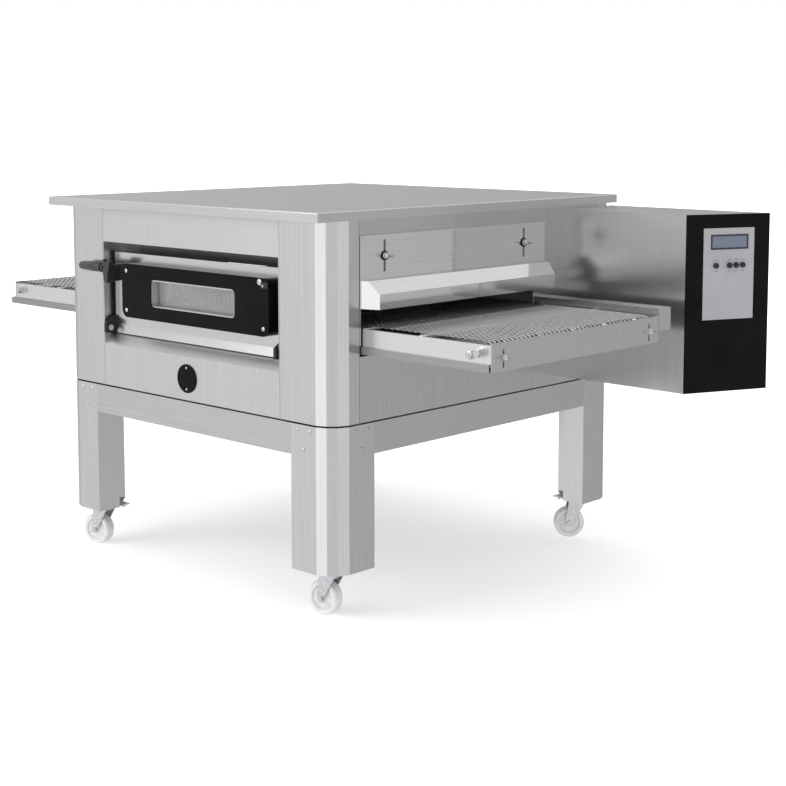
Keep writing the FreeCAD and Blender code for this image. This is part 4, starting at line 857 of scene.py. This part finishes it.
def make_slot_shade_strips():
    """Thin dark strips on the side panels, seen through the shutters' slots: painted shade for the slots'
    depth.
    """
    for end, side in (("exit", 1), ("entry", -1)):
        builder = bmesh.new()
        for place in ("front", "back"):
            low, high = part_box(f"knob_{end}_{place}")
            spot = Vector((at(side * SIDE_FACE, 0, 0).x, (low.y + high.y) / 2, (low.z + high.z) / 2))
            inner, outer = sorted((side * SHADE_STRIP_LIFT, side * (SHADE_STRIP_LIFT + SHADE_STRIP_THICK)))
            slab(builder, Matrix.Translation(spot), (inner, -SHADE_STRIP_HALF_WIDTH, -SHADE_STRIP_HALF_HEIGHT),
                 (outer, SHADE_STRIP_HALF_WIDTH, SHADE_STRIP_HALF_HEIGHT), 0.05, 1)
        # black matte strips: painted shade seen through the slots
        finish_mesh(f"slot_shade_strips_{end}", builder, "matte", "casing", smooth=False)


# fixings on the conveyor, in metres: the bolt on the near rail's face, which lies inside the frame's box, the
# thumb screws on each end plate with their washers, and how far the shafts' nuts are set in
RAIL_BOLT_X = 0.8155
RAIL_BOLT_LEVEL = 0.6375
RAIL_FACE_IN = 0.0025
THUMB_SCREW_OUT = 0.265
THUMB_SCREW_LEVEL = 0.6325
THUMB_WASHER = 0.0012
SHAFT_NUT_SET = 0.0052


def make_conveyor_fixings():
    """A bolt on the near rail, a nut on each shaft's near end, and thumb screws on both end plates."""
    builder = bmesh.new()
    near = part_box("conveyor_frame")[0].y + RAIL_FACE_IN
    hex_nut(builder, Vector((MID_X + RAIL_BOLT_X, near, RAIL_BOLT_LEVEL)), (0, -1, 0), 9, 7, 2.5)
    finish_mesh("rail_bolt", builder, "zinc", "casing")
    for node in ("drive_shaft", "idler_shaft"):
        low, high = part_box(node)
        builder = bmesh.new()
        spot = Vector(((low.x + high.x) / 2, low.y + SHAFT_NUT_SET, (low.z + high.z) / 2))
        prism(builder, facing((0, -1, 0), spot), hexagon(9.6), 0, 4.6, 0.8)
        finish_mesh(f"{node}_nut", builder, "zinc", node)
    builder = bmesh.new()
    for node, side in (("end_plate_exit", 1), ("end_plate_entry", -1)):
        low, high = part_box(node)
        face = high.x if side > 0 else low.x
        for way in (-1, 1):
            spot = Vector((face, (low.y + high.y) / 2 + way * THUMB_SCREW_OUT, THUMB_SCREW_LEVEL))
            lathe(builder, [(8.5, 0), (8.5, 1.2), (5, 1.2)], facing((side, 0, 0), spot), 28)
            wing_nut(builder, sideways(side, spot + Vector((side * THUMB_WASHER, 0, 0))), 0.8)
    finish_mesh("thumb_screws", builder, "zinc", "casing")


# the chain: its pitch and how far its line runs inside the CAD band, in metres, then its links in millimetres
CHAIN_PITCH = 0.0095
CHAIN_INSET = 0.0018
LINK_OVERHANG = 2.2
LINK_HALF_HEIGHT = 1.7
LINK_HALF_THICK = 0.3
INNER_LINK_OUT = 1.9
OUTER_LINK_OUT = 2.6
ROLLER_RADIUS = 1.7
ROLLER_HALF = 1.5


def make_chain():
    """A roller chain: paired side plates and rollers round both sprockets."""
    low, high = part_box("drive_chain")
    centre = (low + high) / 2
    wheel = (high.z - low.z) / 2
    left, right = low.x + wheel, high.x - wheel
    radius = wheel - CHAIN_INSET
    loop = 2 * (right - left + math.pi * radius)
    links = 2 * round(loop / 2 / CHAIN_PITCH)
    spots = [loop_point(left, right, centre, radius, link * loop / links) for link in range(links)]
    builder = bmesh.new()
    for link, start in enumerate(spots):
        end = spots[(link + 1) % links]
        along = end - start
        turn = along.to_track_quat("X", "Y").to_matrix().to_4x4()
        matrix = Matrix.Translation((start + end) / 2) @ turn
        half = along.length * 500 + LINK_OVERHANG
        out = OUTER_LINK_OUT if link % 2 else INNER_LINK_OUT
        for way in (-1, 1):
            slab(builder, matrix, (-half, way * out - LINK_HALF_THICK, -LINK_HALF_HEIGHT),
                 (half, way * out + LINK_HALF_THICK, LINK_HALF_HEIGHT), 0.25, 1)
        roller = [(ROLLER_RADIUS, -ROLLER_HALF), (ROLLER_RADIUS, ROLLER_HALF)]
        lathe(builder, roller, facing((0, 1, 0), start), 10)
    chain = finish_mesh("roller_chain", builder, "zinc", "casing")
    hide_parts("drive_chain")


# ------------------------------------------------------------------ the fascia and what is on it

# the slanted fascia, in millimetres: the corner it starts from, and how far it runs right and back
FASCIA_CORNER = (869, 862)
FASCIA_WIDE = 98
FASCIA_DEEP = 212
FASCIA_SLANT = math.atan2(FASCIA_DEEP, FASCIA_WIDE)
FASCIA_OUT = Vector((math.sin(FASCIA_SLANT), -math.cos(FASCIA_SLANT), 0))
# what is on it: left, base, right and top of the display's frame, then the marks' columns and rows
DISPLAY_OUTER = (66, 810.5, 172, 846.5)
DISPLAY_INNER = (70, 814.5, 168, 842.5)
MARK_COLUMNS = (80, 118, 136.5, 155)
MARK_ROWS = ((785, 7), (758, 5))
MARK_SHARES = (-0.5, 0.1, 0.7)
BUTTONS = 4
BUTTON_SINK = 0.003


def on_fascia(along=0, level=0):
    """A frame on the slanted fascia: local X along it, local Y up, local Z out of it; millimetres."""
    right = Vector((math.cos(FASCIA_SLANT), math.sin(FASCIA_SLANT), 0))
    origin = at(*FASCIA_CORNER, level) + right * along / 1000
    up = Vector((0, 0, 1))
    return Matrix(((right.x, up.x, FASCIA_OUT.x, origin.x), (right.y, up.y, FASCIA_OUT.y, origin.y),
                   (right.z, up.z, FASCIA_OUT.z, origin.z), (0, 0, 0, 1)))


def frame_ring(builder, matrix, outer, inner, low, high):
    """A rectangular frame between two outlines, in a local XY plane."""
    (x0, y0, x1, y1), (a0, b0, a1, b1) = outer, inner
    for low_corner, high_corner in (((x0, y0, low), (x1, b0, high)), ((x0, b1, low), (x1, y1, high)),
                                    ((x0, b0, low), (a0, b1, high)), ((a1, b0, low), (x1, b1, high))):
        slab(builder, matrix, low_corner, high_corner, 0.2, 1)


def make_fascia_details():
    """The dark frame round the display, small generic marks beside the buttons, and the buttons' caps."""
    builder = bmesh.new()
    frame_ring(builder, on_fascia(), DISPLAY_OUTER, DISPLAY_INNER, 0.9, 2.0)
    finish_mesh("display_frame", builder, "navy", "casing", smooth=False)
    builder = bmesh.new()
    for along in MARK_COLUMNS:
        for level, width in MARK_ROWS:
            for share in MARK_SHARES:
                left = share * width
                right = left + width * 0.4
                slab(builder, on_fascia(along, level), (left, -0.8, 0.8), (right, 0.8, 1.12), 0.05, 1)
    finish_mesh("pad_marks", builder, "print", "casing", smooth=False)
    for index in range(1, BUTTONS + 1):
        node = f"button_{index}"
        low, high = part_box(node)
        builder = bmesh.new()
        spot = (low + high) / 2 - FASCIA_OUT * BUTTON_SINK
        lathe(builder, [(6.2, 0), (6.8, 0.6), (6.8, 3.6), (6.2, 4.8), (4.8, 5.2), (2.6, 4.8), (0, 4.7)],
              facing(FASCIA_OUT, spot), 36)
        cap = finish_mesh(f"button_cap_{index}", builder, "matte", node)
        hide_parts(node)


# the badge's two screws, in metres: how far from its middle and how far out of its back
BADGE_SCREW_OUT = 0.026
BADGE_FACE = 0.0022


def make_badge():
    """A plain round badge with a raised rim and two small screws."""
    low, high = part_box("badge")
    centre = Vector(((low.x + high.x) / 2, high.y, (low.z + high.z) / 2))
    builder = bmesh.new()
    disc = [(35, 0), (35, 2.2), (34, 3), (32, 3), (31, 2.2), (0, 2.2)]
    lathe(builder, disc, facing((0, -1, 0), centre), 64)
    badge = finish_mesh("badge_disc", builder, "gloss", "casing")
    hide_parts("badge")
    builder = bmesh.new()
    for way in (-1, 1):
        spot = centre + Vector((0, -BADGE_FACE, way * BADGE_SCREW_OUT))
        cross_head(builder, spot, (0, -1, 0), 3, 1.5)
    finish_mesh("badge_screws", builder, "zinc", "casing")


# the castors' plates, in millimetres: their middles, their underside, and their bolts about the middle
CASTER_X = (-431.75, 431.75)
CASTER_Y = (109.25, 1028.75)
PLATE_UNDERSIDE = 107
BOLT_X = (-38, 38)
BOLT_Y = (-30, 30)


def make_caster_bolts():
    """Four hexagon bolts in every caster's top plate."""
    builder = bmesh.new()
    for x in CASTER_X:
        for y in CASTER_Y:
            for bolt_x in BOLT_X:
                for bolt_y in BOLT_Y:
                    hex_nut(builder, at(x + bolt_x, y + bolt_y, PLATE_UNDERSIDE), (0, 0, -1), 6, 5, 2)
    finish_mesh("caster_bolts", builder, "zinc", "casing")


make_camera()
make_world()
make_light("key", KEY_PLACE, KEY_TARGET, KEY_SIZE, KEY_POWER)
make_floor()
paint_nodes()
make_belt()
make_legs()
make_rivets()
make_door_trim()
make_window_trim()
make_stay()
make_handle()
make_handle_bracket()
make_knobs()
make_slot_shade_strips()
make_conveyor_fixings()
make_chain()
make_fascia_details()
make_badge()
make_caster_bolts()
